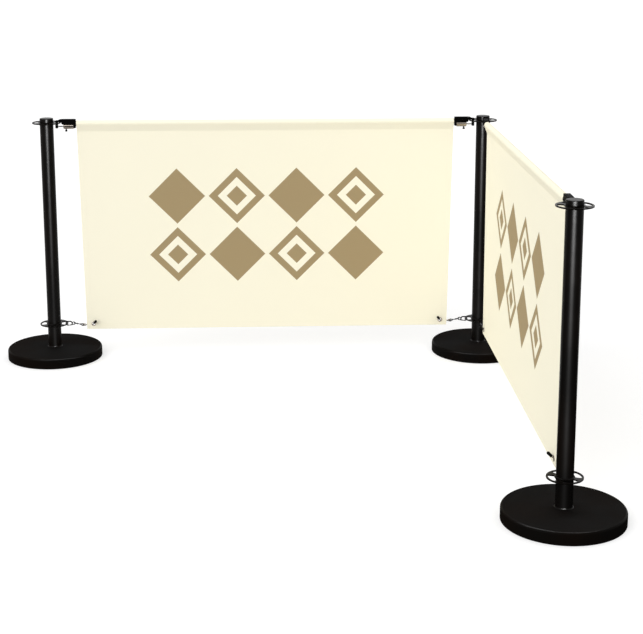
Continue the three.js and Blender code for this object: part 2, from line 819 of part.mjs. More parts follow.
// Everything at one end of a panel, with the post's axis at X = 0 and the panel towards +X
function panelEnd(name, facing) {
  const tipway = tipDirection(facing);
  const group = new THREE.Group();
  group.name = `${name}_end`;
  group.add(
    piece(`${name}_hook_head`, hookHead(), 'blackSteel'),
    piece(`${name}_latch_barrel`, latchBarrel(), 'chrome'),
    piece(`${name}_latch_bolt`, latchBolt(), 'zincSteel'),
    piece(`${name}_snap_hook`, snapHook(), 'blackSteel'),
    piece(`${name}_snap_gate`, snapGate(), 'blackSteel'),
    piece(`${name}_tension_cord`, tensionCord(tipway), 'cord'),
    piece(`${name}_corner_hook`, cornerHook(tipway), 'chrome'),
    piece(`${name}_eyelet`, eyelet(), 'chrome'),
  );
  return group;
}

// Crossbar: a tube that slips over the spigots of both hook heads
function crossbar() {
  const length = postSpacing - (headEnd + fitGap) * 2;
  const profile = [[barBore, 0], [barRadius, 0], [barRadius, length], [barBore, length]];
  return laid(revolved(profile, barSides, true), headEnd + fitGap, barAxis);
}

// Banner: one cloth, sewn into a sleeve round the bar and leaning in at the sides
function banner() {
  const half = clothThickness / 2;
  const opening = THREE.MathUtils.radToDeg(Math.asin(half / sleeveOuter));
  const section = outline([
    [-half, bannerBottom],
    [half, bannerBottom],
    ...arcPoints(0, barAxis, sleeveOuter, opening - 90, 270 - opening, barSides),
  ]);
  section.holes.push(outline(circle(sleeveInner / Math.cos(Math.PI / barSides), barSides, barAxis)));
  const strip = new THREE.ExtrudeGeometry(section, { depth: postSpacing, bevelEnabled: false });
  const spots = strip.attributes.position;
  for (let i = 0; i < spots.count; i += 1) {
    const [across, height] = [spots.getX(i), spots.getY(i)];
    const edge = sideEdgeAt(height);
    const reach = spots.getZ(i) > postSpacing / 2 ? postSpacing - edge : edge;
    spots.setXYZ(i, reach, across, height);
  }
  const cutWidth = clothThickness + cutOverrun * 2;
  const holeAt = (reach) => acrossBar(reach, eyeletHeight, eyeletHole, cutWidth, boltSides);
  return solid(strip).subtract(holeAt(eyeletReach)).subtract(holeAt(postSpacing - eyeletReach));
}

// A panel that runs along +X, from a post at the origin to the next post. The tips of its
// corner hooks come out on the side of Y that facing gives.
function panel(name, facing) {
  const group = new THREE.Group();
  group.name = `${name}_panel`;
  const inner = panelEnd(`${name}_inner`, facing);
  const outer = panelEnd(`${name}_outer`, -facing);
  outer.rotation.z = Math.PI;
  outer.position.x = postSpacing;
  group.add(
    piece(`${name}_crossbar`, crossbar(), 'powderCoat'),
    piece(`${name}_banner`, banner(), 'cloth'),
    inner,
    outer,
  );
  return group;
}

function barrier() {
  const group = new THREE.Group();
  group.name = 'cafe_barrier';
  const corner = post('corner');
  const front = panel('front', 1);
  const side = panel('side', -1);
  front.rotation.z = THREE.MathUtils.degToRad(frontPanelTurn);
  side.rotation.z = THREE.MathUtils.degToRad(sidePanelTurn);
  const left = post('left');
  left.position.set(postSpacing, 0, 0).applyEuler(front.rotation);
  const right = post('right');
  right.position.set(postSpacing, 0, 0).applyEuler(side.rotation);
  right.rotation.z = THREE.MathUtils.degToRad(rightPostTurn);
  group.add(corner, left, right, front, side);
  return group;
}

export default barrier();
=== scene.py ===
from functools import partial
from math import acos, atan2, cos, degrees, hypot, pi, radians, sin, sqrt, tan

import bmesh
import bpy
from mathutils import Matrix, Vector


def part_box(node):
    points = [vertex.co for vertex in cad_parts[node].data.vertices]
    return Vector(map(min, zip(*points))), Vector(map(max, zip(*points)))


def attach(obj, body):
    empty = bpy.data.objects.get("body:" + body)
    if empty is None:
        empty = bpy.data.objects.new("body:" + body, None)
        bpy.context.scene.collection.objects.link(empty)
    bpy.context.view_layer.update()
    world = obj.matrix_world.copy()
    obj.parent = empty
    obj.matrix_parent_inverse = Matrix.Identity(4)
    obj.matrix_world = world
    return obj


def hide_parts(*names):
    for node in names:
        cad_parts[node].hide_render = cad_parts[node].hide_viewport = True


# Cafe barrier: three weighted posts with two stretched banners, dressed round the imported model.
# Metres, the same frame as the model. Small sizes are written in millimetres.
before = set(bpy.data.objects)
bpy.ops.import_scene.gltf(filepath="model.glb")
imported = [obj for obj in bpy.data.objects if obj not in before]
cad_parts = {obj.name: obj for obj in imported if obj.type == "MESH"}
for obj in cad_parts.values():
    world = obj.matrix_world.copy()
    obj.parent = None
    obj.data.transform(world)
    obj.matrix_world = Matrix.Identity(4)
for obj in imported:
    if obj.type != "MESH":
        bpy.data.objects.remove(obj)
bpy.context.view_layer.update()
mm = 0.001
weld = 0.002 * mm  # corners closer than this are one
gap = 0.2 * mm  # between a piece and what it seats on


def millimetres(**sizes):
    return {name: size * mm for name, size in sizes.items()}


# Places that come from the frame
def middleOf(node):
    low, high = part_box(node)
    return (low + high) / 2


def halfWidthOf(node):
    low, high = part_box(node)
    return (high.x - low.x) / 2


postAxis = {post: middleOf(f"{post}_post_tube") for post in ("corner", "left", "right")}
postTurn = {"corner": 0, "left": 0, "right": radians(12)}  # the right post is spun a little
panelTurn = {"front": pi, "side": -pi / 2}
cameraSide = {"front": 1, "side": -1}  # which way of local Y the camera is
spacing = (postAxis["left"] - postAxis["corner"]).length


def panelMatrix(panel):
    return Matrix.Rotation(panelTurn[panel], 4, "Z")


def endMatrix(panel, end):
    # the post's axis at X = 0 and the panel towards +X
    if end == "inner":
        return panelMatrix(panel)
    return panelMatrix(panel) @ Matrix.Translation((spacing, 0, 0)) @ Matrix.Rotation(pi, 4, "Z")


def tipSide(panel, end):
    return cameraSide[panel] * (1 if end == "inner" else -1)


def localBox(node):
    # a node's box in the frame of the front panel's inner end, which is half a turn away
    back = endMatrix("front", "inner").inverted()
    low, high = (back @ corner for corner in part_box(node))
    return Vector(map(min, low, high)), Vector(map(max, low, high))


# Mesh helpers
def shown(name, data):
    owner = bpy.data.objects.new(name, data)
    bpy.context.scene.collection.objects.link(owner)
    return owner


def plainMesh(owner):
    # the evaluated shape of an object as a mesh of its own; the object goes
    graph = bpy.context.evaluated_depsgraph_get()
    mesh = bpy.data.meshes.new_from_object(owner.evaluated_get(graph), depsgraph=graph)
    owner.modifiers.clear()
    bpy.data.objects.remove(owner)
    return mesh


def shadeSoftly(mesh, sharp=35):
    mesh.shade_smooth()
    mesh.set_sharp_from_angle(angle=radians(sharp))
    return mesh


def meshFrom(work, sharp=35):
    bmesh.ops.remove_doubles(work, verts=work.verts, dist=weld)
    bmesh.ops.recalc_face_normals(work, faces=work.faces)
    mesh = bpy.data.meshes.new("shape")
    work.to_mesh(mesh)
    work.free()
    return shadeSoftly(mesh, sharp)


def joinedMesh(*meshes):
    work = bmesh.new()
    for mesh in meshes:
        work.from_mesh(mesh)
    mesh = bpy.data.meshes.new("joined")
    work.to_mesh(mesh)
    work.free()
    return shadeSoftly(mesh)


def arcPoints(x, y, radius, first, last, steps):
    turns = [radians(first + (last - first) * step / steps) for step in range(steps + 1)]
    return [(x + radius * cos(turn), y + radius * sin(turn)) for turn in turns]


def rounded(points, steps=5):
    # corners given as (x, y, fillet radius) become arcs, and those given as (x, y) stay sharp
    outline = []
    for i, (x, y, *fillet) in enumerate(points):
        if not fillet:
            outline.append((x, y))
            continue
        here, radius = Vector((x, y)), fillet[0]
        before = (Vector(points[i - 1][:2]) - here).normalized()
        after = (Vector(points[(i + 1) % len(points)][:2]) - here).normalized()
        half = before.angle(after) / 2
        centre = here + (before + after).normalized() * (radius / sin(half))
        start = here + before * (radius / tan(half)) - centre
        end = here + after * (radius / tan(half)) - centre
        turn = atan2(start.x * end.y - start.y * end.x, start.dot(end))
        for step in range(steps + 1):
            spoke = Matrix.Rotation(turn * step / steps, 2) @ start
            outline.append(tuple(centre + spoke))
    return outline


def turnedMesh(profile, sides, sharp=35):
    # revolves (radius, height) points about Z, as a closed outline; a radius of zero is a pole
    work = bmesh.new()
    rings = []
    for radius, height in profile:
        count = sides if radius > weld else 1
        spots = [2 * pi * k / sides for k in range(count)]
        rings.append([work.verts.new((radius * cos(a), radius * sin(a), height)) for a in spots])
    for low, high in zip(rings, rings[1:] + rings[:1]):
        for k in range(sides):
            around = [low[k % len(low)], low[(k + 1) % sides % len(low)]]
            around += [high[(k + 1) % sides % len(high)], high[k % len(high)]]
            corners = list(dict.fromkeys(around))
            if len(corners) > 2:
                work.faces.new(corners)
    return meshFrom(work, sharp)


def moved(mesh, spot, turn=0, axis="X"):
    mesh.transform(Matrix.Translation(spot) @ Matrix.Rotation(turn, 4, axis))
    return mesh


def laid(mesh, reach, height):
    # a mesh turned about Z is laid along X, with its foot at a reach
    return moved(mesh, (reach, 0, height), pi / 2, "Y")


def rodMesh(start, end, radius, sides=32):
    work = bmesh.new()
    start, end = Vector(start), Vector(end)
    turn = (end - start).to_track_quat("Z", "Y").to_matrix().to_4x4()
    place = Matrix.Translation((start + end) / 2) @ turn
    bmesh.ops.create_cone(work, cap_ends=True, segments=sides, radius1=radius, radius2=radius,
                          depth=(end - start).length, matrix=place)
    return meshFrom(work)


def boxMesh(low, high):
    work = bmesh.new()
    low, high = Vector(low), Vector(high)
    place = Matrix.Translation((low + high) / 2) @ Matrix.Diagonal((*(high - low), 1))
    bmesh.ops.create_cube(work, size=1, matrix=place)
    return meshFrom(work)


def slabMesh(outline, width, bevel):
    # an outline drawn in X and Z, as thick as width across Y, with rounded edges
    curve = bpy.data.curves.new("slab", "CURVE")
    curve.dimensions = "2D"
    curve.fill_mode = "BOTH"
    curve.extrude = width / 2 - bevel
    curve.bevel_depth = bevel
    curve.bevel_resolution = 2
    curve.offset = -bevel
    spline = curve.splines.new("POLY")
    spline.points.add(len(outline) - 1)
    for point, spot in zip(spline.points, outline):
        point.co = (*spot, 0, 1)
    spline.use_cyclic_u = True
    work = bmesh.new()
    work.from_mesh(moved(plainMesh(shown("slab", curve)), (0, 0, 0), pi / 2))
    return meshFrom(work)


def combined(operation, mesh, *tools):
    # union or difference of closed meshes, one after another
    for tool in tools:
        base, other = shown("base", mesh), shown("tool", tool)
        change = base.modifiers.new("change", "BOOLEAN")
        change.operation = operation
        change.solver = "MANIFOLD"
        change.object = other
        mesh = shadeSoftly(plainMesh(base))
        bpy.data.objects.remove(other)
    return mesh


fused, cut = partial(combined, "UNION"), partial(combined, "DIFFERENCE")


def softened(mesh, width, steps=2, sharp=40):
    # flat faces are merged and the hard edges rounded
    work = bmesh.new()
    work.from_mesh(mesh)
    bmesh.ops.remove_doubles(work, verts=work.verts, dist=weld)
    bmesh.ops.dissolve_limit(work, angle_limit=radians(1), verts=work.verts, edges=work.edges)
    hard = [e for e in work.edges if e.is_manifold and e.calc_face_angle(0) > radians(sharp)]
    bmesh.ops.bevel(work, geom=hard, offset=width, segments=steps, profile=0.5, affect="EDGES",
                    clamp_overlap=False)
    bmesh.ops.triangulate(work, faces=[f for f in work.faces if len(f.verts) > 4])
    return meshFrom(work, sharp=30)


# Node helpers, for Geometry Nodes and for shaders
def feed(socket, value):
    # a socket takes a value, a colour, an output, or the first output of a node
    if isinstance(value, bpy.types.Node):
        value = value.outputs[0]
    if isinstance(value, bpy.types.NodeSocket):
        socket.id_data.links.new(value, socket)
    elif socket.type == "RGBA":
        socket.default_value = (*value, 1)
    else:
        socket.default_value = value


def addNode(tree, kind, sockets=None, **settings):
    # sockets: input name or number -> what feeds it
    node = tree.nodes.new(kind)
    for key, value in settings.items():
        setattr(node, key, value)
    for key, value in (sockets or {}).items():
        feed(node.inputs[key], value)
    return node


def newGroup(kind, name, inputs, outputs):
    # a node group: its inputs as sockets to read, and the function that adds nodes to it
    tree = bpy.data.node_groups.new(name, kind)
    for label, value in inputs.items():
        form = value if isinstance(value, str) else "Float" if isinstance(value, float) else "Vector"
        socket = tree.interface.new_socket(name=label, in_out="INPUT", socket_type=f"NodeSocket{form}")
        if form != value:
            socket.default_value = value
    for label, form in outputs.items():
        tree.interface.new_socket(name=label, in_out="OUTPUT", socket_type=f"NodeSocket{form}")
    return tree.nodes.new("NodeGroupInput").outputs, partial(addNode, tree)


def maths(operation, *values):
    # a Math node, in the tree of the first socket or node among its values
    tree = next(value.id_data for value in values if hasattr(value, "id_data"))
    return addNode(tree, "ShaderNodeMath", dict(enumerate(values)), operation=operation).outputs[0]


def times(*values):
    return maths("MULTIPLY", *values)


def splitUp(add, vector):
    return add("ShaderNodeSeparateXYZ", {0: vector}).outputs


# Geometry Nodes trees
def newTree(name, **inputs):
    inputs = {label.replace("_", " "): form for label, form in inputs.items()}
    return newGroup("GeometryNodeTree", name, {"Geometry": "Geometry", **inputs, "Material": "Material"},
                    {"Geometry": "Geometry"})


def endTree(add, given, geometry):
    real = add("GeometryNodeRealizeInstances", {"Geometry": geometry})
    painted = add("GeometryNodeSetMaterial", {"Geometry": real, "Material": given["Material"]})
    return add("NodeGroupOutput", {"Geometry": painted}).id_data


def joinedParts(add, *parts):
    node = add("GeometryNodeJoinGeometry")
    for part in parts:
        feed(node.inputs[0], part)
    return node


def wireTree():
    # a round wire along each path; it keeps the length along and the direction around
    given, add = newTree("wire", Radius="Float", Sides="Int")
    path = add("GeometryNodeMeshToCurve", {"Mesh": given["Geometry"]})
    lengths = add("GeometryNodeSplineParameter").outputs["Length"]
    measured = add("GeometryNodeStoreNamedAttribute",
                   {"Geometry": path, "Name": "along", "Value": lengths}, domain="POINT")
    ring = add("GeometryNodeCurvePrimitiveCircle",
               {"Resolution": given["Sides"], "Radius": given["Radius"]})
    spokes = add("GeometryNodeStoreNamedAttribute",
                 {"Geometry": ring, "Name": "around", "Value": add("GeometryNodeInputPosition")},
                 data_type="FLOAT_VECTOR", domain="POINT")
    share = add("GeometryNodeInputNamedAttribute", {"Name": "thickness"}, data_type="FLOAT")
    wire = add("GeometryNodeCurveToMesh", {"Curve": measured, "Profile Curve": spokes, "Fill Caps": True,
                                           "Scale": share.outputs["Attribute"]})
    return endTree(add, given, add("GeometryNodeSetShadeSmooth", {"Geometry": wire}))


def stitchTree():
    # one thread stitch after another along each path, sunk half way into the cloth
    given, add = newTree("stitches", Pitch="Float", Length="Float", Thread="Float")
    path = add("GeometryNodeMeshToCurve", {"Mesh": given["Geometry"]})
    spots = add("GeometryNodeResampleCurve", {"Curve": path, "Length": given["Pitch"]}, mode="LENGTH")
    bead = add("GeometryNodeMeshUVSphere", {"Segments": 6, "Rings": 4, "Radius": 0.5})
    size = add("ShaderNodeCombineXYZ", {"X": given["Length"], "Y": given["Thread"], "Z": given["Thread"]})
    lying = add("GeometryNodeTransform", {"Geometry": bead, "Rotation": (0, pi / 2, 0)})
    shaped = add("GeometryNodeTransform", {"Geometry": lying, "Scale": size})
    aim = add("FunctionNodeAlignRotationToVector", {"Vector": add("GeometryNodeInputTangent")}, axis="X")
    row = add("GeometryNodeInstanceOnPoints", {"Points": spots, "Instance": shaped, "Rotation": aim})
    return endTree(add, given, add("GeometryNodeSetShadeSmooth", {"Geometry": row}))


def plateTree():
    # a round plate with a bore and a ring of curved slots, standing on each point of the source
    given, add = newTree("slotted plate", Radius="Float", Bore="Float", Slot_Inner="Float",
                         Slot_Outer="Float", Slot_Span="Float", Slot_Corner="Float", Edge_Step="Float",
                         Thickness="Float", Slots="Int")
    inner, outer = given["Slot Inner"], given["Slot Outer"]
    middle = times(maths("ADD", inner, outer), 0.5)
    oblong = add("GeometryNodeCurvePrimitiveQuadrilateral", {
        "Width": times(middle, given["Slot Span"]), "Height": maths("SUBTRACT", outer, inner)})
    soft = add("GeometryNodeFilletCurve", {"Curve": oblong, "Count": 8, "Radius": given["Slot Corner"]},
               mode="POLY")
    fine = add("GeometryNodeResampleCurve", {"Curve": soft, "Length": given["Edge Step"]}, mode="LENGTH")
    spot = splitUp(add, add("GeometryNodeInputPosition"))
    angle, reach = maths("DIVIDE", spot["X"], middle), maths("ADD", spot["Y"], middle)
    bent = add("ShaderNodeCombineXYZ", {"X": times(reach, maths("COSINE", angle)),
                                        "Y": times(reach, maths("SINE", angle))})
    slot = add("GeometryNodeSetPosition", {"Geometry": fine, "Position": bent})
    spokes = add("GeometryNodeMeshLine", {"Count": given["Slots"], "Offset": (0, 0, 0)})
    step = maths("DIVIDE", 2 * pi, given["Slots"])
    turn = add("ShaderNodeCombineXYZ", {"Z": times(add("GeometryNodeInputIndex"), step)})
    ring = add("GeometryNodeInstanceOnPoints", {"Points": spokes, "Instance": slot, "Rotation": turn})
    slots = add("GeometryNodeRealizeInstances", {"Geometry": ring})
    rim, bore = (add("GeometryNodeCurvePrimitiveCircle", {"Resolution": sides, "Radius": given[size]})
                 for sides, size in ((128, "Radius"), (64, "Bore")))
    face = add("GeometryNodeFillCurve", {"Curve": joinedParts(add, rim, bore, slots)}, mode="TRIANGLES")
    raised = add("GeometryNodeExtrudeMesh", {"Mesh": face, "Offset": (0, 0, 1), "Individual": False,
                                             "Offset Scale": given["Thickness"]}, mode="FACES")
    body = joinedParts(add, raised, add("GeometryNodeFlipFaces", {"Mesh": face}))
    closed = add("GeometryNodeMergeByDistance", {"Geometry": body, "Distance": 2 * weld})
    stood = add("GeometryNodeInstanceOnPoints", {"Points": given["Geometry"], "Instance": closed})
    return endTree(add, given, stood)


trees = {"wire": wireTree(), "stitches": stitchTree(), "plate": plateTree()}


def grown(source, tree, finish, values):
    # runs a tree on a source mesh and keeps the result as a plain mesh
    owner = shown("grown", source)
    modifier = owner.modifiers.new("grow", "NODES")
    modifier.node_group = trees[tree]
    values = {**values, "Material": materials[finish]}
    for item in trees[tree].interface.items_tree:
        if item.in_out == "INPUT" and item.name in values:
            modifier[item.identifier] = values[item.name]
    return plainMesh(owner)


def lineMesh(paths, thickness=None):
    # paths of points as edges; thickness is a share of the wire's radius at each point
    points, edges = [], []
    for path in paths:
        edges += [(len(points) + i, len(points) + i + 1) for i in range(len(path) - 1)]
        points += [tuple(point) for point in path]
    mesh = bpy.data.meshes.new("path")
    mesh.from_pydata(points, edges, [])
    shares = mesh.attributes.new("thickness", "FLOAT", "POINT")
    shares.data.foreach_set("value", thickness or [1.0] * len(points))
    return mesh


# Shader groups
def ramp(value, low, high, start=0.0, end=1.0):
    sockets = {"Value": value, "From Min": low, "From Max": high, "To Min": start, "To Max": end}
    node = addNode(value.id_data, "ShaderNodeMapRange", sockets, interpolation_type="SMOOTHSTEP")
    return node.outputs[0]


def blend(share, first, second):
    # 0, 6 and 7 are the share and the two colours of a Mix node, and 2 is its colour output
    sockets = {0: share, 6: first, 7: second}
    return addNode(share.id_data, "ShaderNodeMix", sockets, data_type="RGBA").outputs[2]


def choice(share, first, second):
    # the same between two plain values
    sockets = {0: share, 2: first, 3: second}
    return addNode(share.id_data, "ShaderNodeMix", sockets, data_type="FLOAT").outputs[0]


def objectNoise(add, scale, detail):
    spot = add("ShaderNodeTexCoord").outputs["Object"]
    return add("ShaderNodeTexNoise", {"Vector": spot, "Scale": scale, "Detail": detail}).outputs["Fac"]


def upwards(add):
    return splitUp(add, add("ShaderNodeNewGeometry").outputs["Normal"])["Z"]


def shaderGroup(name, outputs, inputs):
    return newGroup("ShaderNodeTree", name, inputs, dict.fromkeys(outputs, "Float"))


def grainGroup():
    # the orange peel of a coat or casting: a height, and a tone that varies slowly
    given, add = shaderGroup("coat grain", ["Height", "Tone"], {"Grain Scale": 900.0, "Tone Scale": 6.0})
    slow = objectNoise(add, given["Tone Scale"], 4.0)
    return add("NodeGroupOutput", {"Height": objectNoise(add, given["Grain Scale"], 3.0),
                                   "Tone": ramp(slow, 0.35, 0.65)}).id_data


def wearGroup():
    # outer edges, where a coat rubs thin, broken up by noise
    given, add = shaderGroup("edge wear", ["Mask"], {"Radius": 0.6 * mm, "Noise Scale": 240.0})
    soft = add("ShaderNodeBevel", {"Radius": given["Radius"]}, samples=4)
    plain = add("ShaderNodeNewGeometry").outputs["Normal"]
    match = add("ShaderNodeVectorMath", {0: soft, 1: plain}, operation="DOT_PRODUCT").outputs["Value"]
    patch = ramp(objectNoise(add, given["Noise Scale"], 3.0), 0.42, 0.62)
    return add("NodeGroupOutput", {"Mask": times(ramp(match, 0.995, 0.93), patch)}).id_data


def dustGroup():
    # fine dust that lies on what faces up: a cloudy film and specks
    given, add = shaderGroup("dust", ["Mask"], {"Scale": 14.0})
    cloud = ramp(objectNoise(add, given["Scale"], 5.0), 0.3, 0.8)
    speck = ramp(objectNoise(add, times(given["Scale"], 60.0), 1.0), 0.62, 0.78)
    film = maths("ADD", times(cloud, 0.7), times(speck, 0.5))
    return add("NodeGroupOutput", {"Mask": times(ramp(upwards(add), 0.4, 1.0), film)}).id_data


def weaveGroup():
    # a plain weave on the cloth's own map, in metres: over and under by turns
    given, add = shaderGroup("cloth weave", ["Height", "Slub"], {"Map": (0, 0, 0), "Pitch": 0.8 * mm})
    spot = splitUp(add, given["Map"])
    turns = maths("DIVIDE", pi, given["Pitch"])
    waves = [maths("SINE", times(spot[axis], turns)) for axis in ("X", "Y")]
    side = maths("GREATER_THAN", times(*waves), 0.0)
    height = choice(side, *(maths("ABSOLUTE", wave) for wave in waves))
    stretch = add("ShaderNodeMapping", {"Vector": given["Map"], "Scale": (14, 900, 1)})
    threads = add("ShaderNodeTexNoise", {"Vector": stretch, "Scale": 1.0, "Detail": 2.0}).outputs["Fac"]
    return add("NodeGroupOutput", {"Height": height, "Slub": threads}).id_data


def lozengeGroup():
    # a harlequin of lozenges, full ones and nested ones by turns, in a field of columns and rows
    given, add = shaderGroup("lozenge print", ["Mask"], {
        "Map": (0, 0, 0), "Cell": 0.228, "Columns": 4.0, "Rows": 2.0, "Edge": 0.5 * mm,
        "Full": 0.47, "Band": 0.32, "Core": 0.17})
    spot, cell = splitUp(add, given["Map"]), given["Cell"]
    counts = {"X": given["Columns"], "Y": given["Rows"]}
    cells = {axis: maths("ADD", maths("DIVIDE", spot[axis], cell), times(count, 0.5))
             for axis, count in counts.items()}
    off = [maths("ABSOLUTE", maths("SUBTRACT", maths("FRACT", place), 0.5)) for place in cells.values()]
    reach = maths("ADD", *off)  # 0 in the middle of a cell, 0.5 on the sides of its lozenge
    blur = maths("DIVIDE", given["Edge"], cell)

    def inside(limit):
        far = maths("DIVIDE", maths("SUBTRACT", given[limit], reach), blur)
        return add("ShaderNodeMath", {0: far, 1: 0.5}, operation="ADD", use_clamp=True)

    full = inside("Full")
    nested = maths("ADD", maths("SUBTRACT", full, inside("Band")), inside("Core"))
    corner = maths("ADD", *(maths("FLOOR", place) for place in cells.values()))
    shape = choice(maths("FLOORED_MODULO", corner, 2.0), full, nested)
    for axis, count in counts.items():
        field = times(maths("GREATER_THAN", cells[axis], 0.0), maths("LESS_THAN", cells[axis], count))
        shape = times(shape, field)
    return add("NodeGroupOutput", {"Mask": shape}).id_data


def braidGroup():
    # diagonal strands round a cord, from the length along it and the direction around it
    given, add = shaderGroup("cord braid", ["Height"], {"Pitch": 3.2 * mm, "Strands": 8.0})
    lengths = add("ShaderNodeAttribute", attribute_name="along").outputs["Fac"]
    spoke = splitUp(add, add("ShaderNodeAttribute", attribute_name="around").outputs["Vector"])
    angle = maths("ARCTAN2", spoke["Y"], spoke["X"])
    turns = times(maths("DIVIDE", lengths, given["Pitch"]), 2 * pi)
    spun = times(angle, times(given["Strands"], 0.5))
    strands = [maths("SINE", maths(way, turns, spun)) for way in ("ADD", "SUBTRACT")]
    return add("NodeGroupOutput", {"Height": maths("ABSOLUTE", times(*strands))}).id_data


groups = {"grain": grainGroup(), "wear": wearGroup(), "dust": dustGroup(), "weave": weaveGroup(),
          "lozenges": lozengeGroup(), "braid": braidGroup()}


# Finishes, as linear colours, each with the slot of the pieces that wear it
def newMaterial(name, roughness, specular, metallic=0.0):
    material = bpy.data.materials.new(name)
    material.use_nodes = True
    shader = material.node_tree.nodes["Principled BSDF"].inputs
    shader["Metallic"].default_value = metallic
    shader["Roughness"].default_value = roughness
    shader["Specular IOR Level"].default_value = specular
    return material, shader


def useGroup(add, name, **values):
    sockets = {key.replace("_", " "): value for key, value in values.items()}
    return add("ShaderNodeGroup", sockets, node_tree=groups[name]).outputs


def bumpFrom(add, shader, height, distance, strength):
    bump = {"Height": height, "Distance": distance, "Strength": strength}
    feed(shader["Normal"], add("ShaderNodeBump", bump))


coat = {"slot": "powder_coat", "colours": ((0.0032, 0.0029, 0.0026), (0.0046, 0.0029, 0.0020)),
        "grain": 900.0, "spread": (0.03, 0.04), "bump": (0.03 * mm, 0.5),
        "dust": {"share": 0.012, "scale": 14.0, "colour": (0.05, 0.045, 0.04)},
        "wear": {"share": 0.35, "radius": 0.6 * mm, "scale": 240.0, "colour": (0.03, 0.03, 0.03)}}
dusty = {"tone": 30.0, "spread": (0.05, 0.05),
         "dust": {"share": 0.02, "scale": 60.0, "colour": (0.08, 0.075, 0.07)}}
metal = {"metallic": 1.0, "tone": 60.0, "specular": 0.5}
finishes = {
    "coat": {**coat, "name": "satin powder coat", "tone": 3.0, "roughness": 0.29, "specular": 0.05},
    "matte": {**coat, "name": "matte powder coat", "tone": 5.0, "roughness": 0.80, "specular": 0.013,
              "polish": 0.5},
    "steel": {"name": "black steel", "slot": "black_steel", "colours": ((0.0016, 0.0016, 0.0016),),
              "grain": 1600.0, "tone": 40.0, "roughness": 0.62, "spread": (0.04, 0.06), "specular": 0.03,
              "bump": (0.02 * mm, 0.4), "bareMetal": True,
              "wear": {"share": 0.25, "radius": 0.5 * mm, "scale": 420.0,
                       "colour": (0.06, 0.058, 0.055)}},
    "iron": {**dusty, "name": "cast iron", "slot": "cast_iron",
             "colours": ((0.03, 0.028, 0.026), (0.045, 0.04, 0.035)),
             "grain": 500.0, "roughness": 0.8, "specular": 0.3, "bump": (0.2 * mm, 0.5)},
    "rubber": {**dusty, "name": "floor rubber", "slot": "rubber",
               "colours": ((0.010, 0.010, 0.010), (0.014, 0.013, 0.013)),
               "grain": 900.0, "roughness": 0.85, "specular": 0.2, "bump": (0.05 * mm, 0.5)},
    "vinyl": {**dusty, "name": "black vinyl", "slot": "black_steel",
              "colours": ((0.002, 0.002, 0.002), (0.003, 0.003, 0.003)),
              "grain": 700.0, "roughness": 0.4, "specular": 0.08, "bump": (0.03 * mm, 0.5)},
    "chrome": {**metal, "name": "chrome plate", "slot": "chrome",
               "colours": ((0.47, 0.42, 0.37), (0.38, 0.33, 0.28)),
               "grain": 300.0, "roughness": 0.12, "spread": (0.024, 0.036), "bump": (0.01 * mm, 0.4)},
    "zinc": {**metal, "name": "zinc plate", "slot": "zinc_steel",
             "colours": ((0.55, 0.55, 0.54), (0.42, 0.42, 0.42)),
             "grain": 900.0, "roughness": 0.32, "spread": (0.064, 0.096), "bump": (0.02 * mm, 0.4)},
    "thread": {"name": "sewing thread", "slot": "banner_cloth", "specular": 0.2,
               "colours": ((0.97, 0.92, 0.74), (0.90, 0.84, 0.66)),
               "grain": 4000.0, "tone": 90.0, "roughness": 0.7, "bump": (0.03 * mm, 0.5)},
    "cloth": {"name": "banner cloth", "slot": "banner_cloth", "roughness": 0.75, "printRoughness": 0.6,
              "specular": 0.06, "cream": (0.991, 0.947, 0.768), "print": (0.402, 0.305, 0.165),
              "gap": {"share": 0.06, "colour": (0.55, 0.5, 0.38)},  # painted shade between the threads, where the weave sinks
              "slub": (0.985, 0.93), "pitch": 0.8 * mm, "bump": (0.06 * mm, 0.35)},
    # the cord's two colours are painted shade in the braid's grooves and a painted highlight on the
    # strands' crowns
    "cord": {"name": "elastic cord", "slot": "cord", "roughness": 0.8, "specular": 0.25,
             "colours": ((0.022, 0.022, 0.024), (0.105, 0.105, 0.115)), "bump": (0.35 * mm, 0.8)},
}


def rimShare(add):
    # 1 on the rounded rim, which is rubbed smooth when a base is rolled, and 0 on its top and side
    height = upwards(add)
    return times(ramp(height, 0.2, 0.6), ramp(height, 0.995, 0.93))


def finishMaterial(look):
    # one tone or two near ones under a fine grain, with dust on top and wear at the edges for some
    material, shader = newMaterial(look["name"], look["roughness"], look["specular"],
                                   look.get("metallic", 0.0))
    add = partial(addNode, material.node_tree)
    grain = useGroup(add, "grain", Grain_Scale=look["grain"], Tone_Scale=look["tone"])
    colour, *second = look["colours"]
    if second:
        colour = blend(grain["Tone"], colour, *second)
    if "dust" in look:
        dust = look["dust"]
        film = times(useGroup(add, "dust", Scale=dust["scale"])["Mask"], dust["share"])
        colour = blend(film, colour, dust["colour"])
    if "wear" in look:
        wear = look["wear"]
        mask = useGroup(add, "wear", Radius=wear["radius"], Noise_Scale=wear["scale"])["Mask"]
        rubbed = times(mask, wear["share"])
        colour = blend(rubbed, colour, wear["colour"])
        if look.get("bareMetal"):
            feed(shader["Metallic"], rubbed)
    feed(shader["Base Color"], colour)
    if "spread" in look:
        source = (grain["Height"], 0.3, 0.7) if "metallic" in look else (grain["Tone"], 0.0, 1.0)
        less, more = look["spread"]
        rough = ramp(*source, look["roughness"] - less, look["roughness"] + more)
        if "polish" in look:
            rough = maths("SUBTRACT", rough, times(rimShare(add), look["polish"]))
        feed(shader["Roughness"], rough)
    bumpFrom(add, shader, grain["Height"], *look["bump"])
    return material


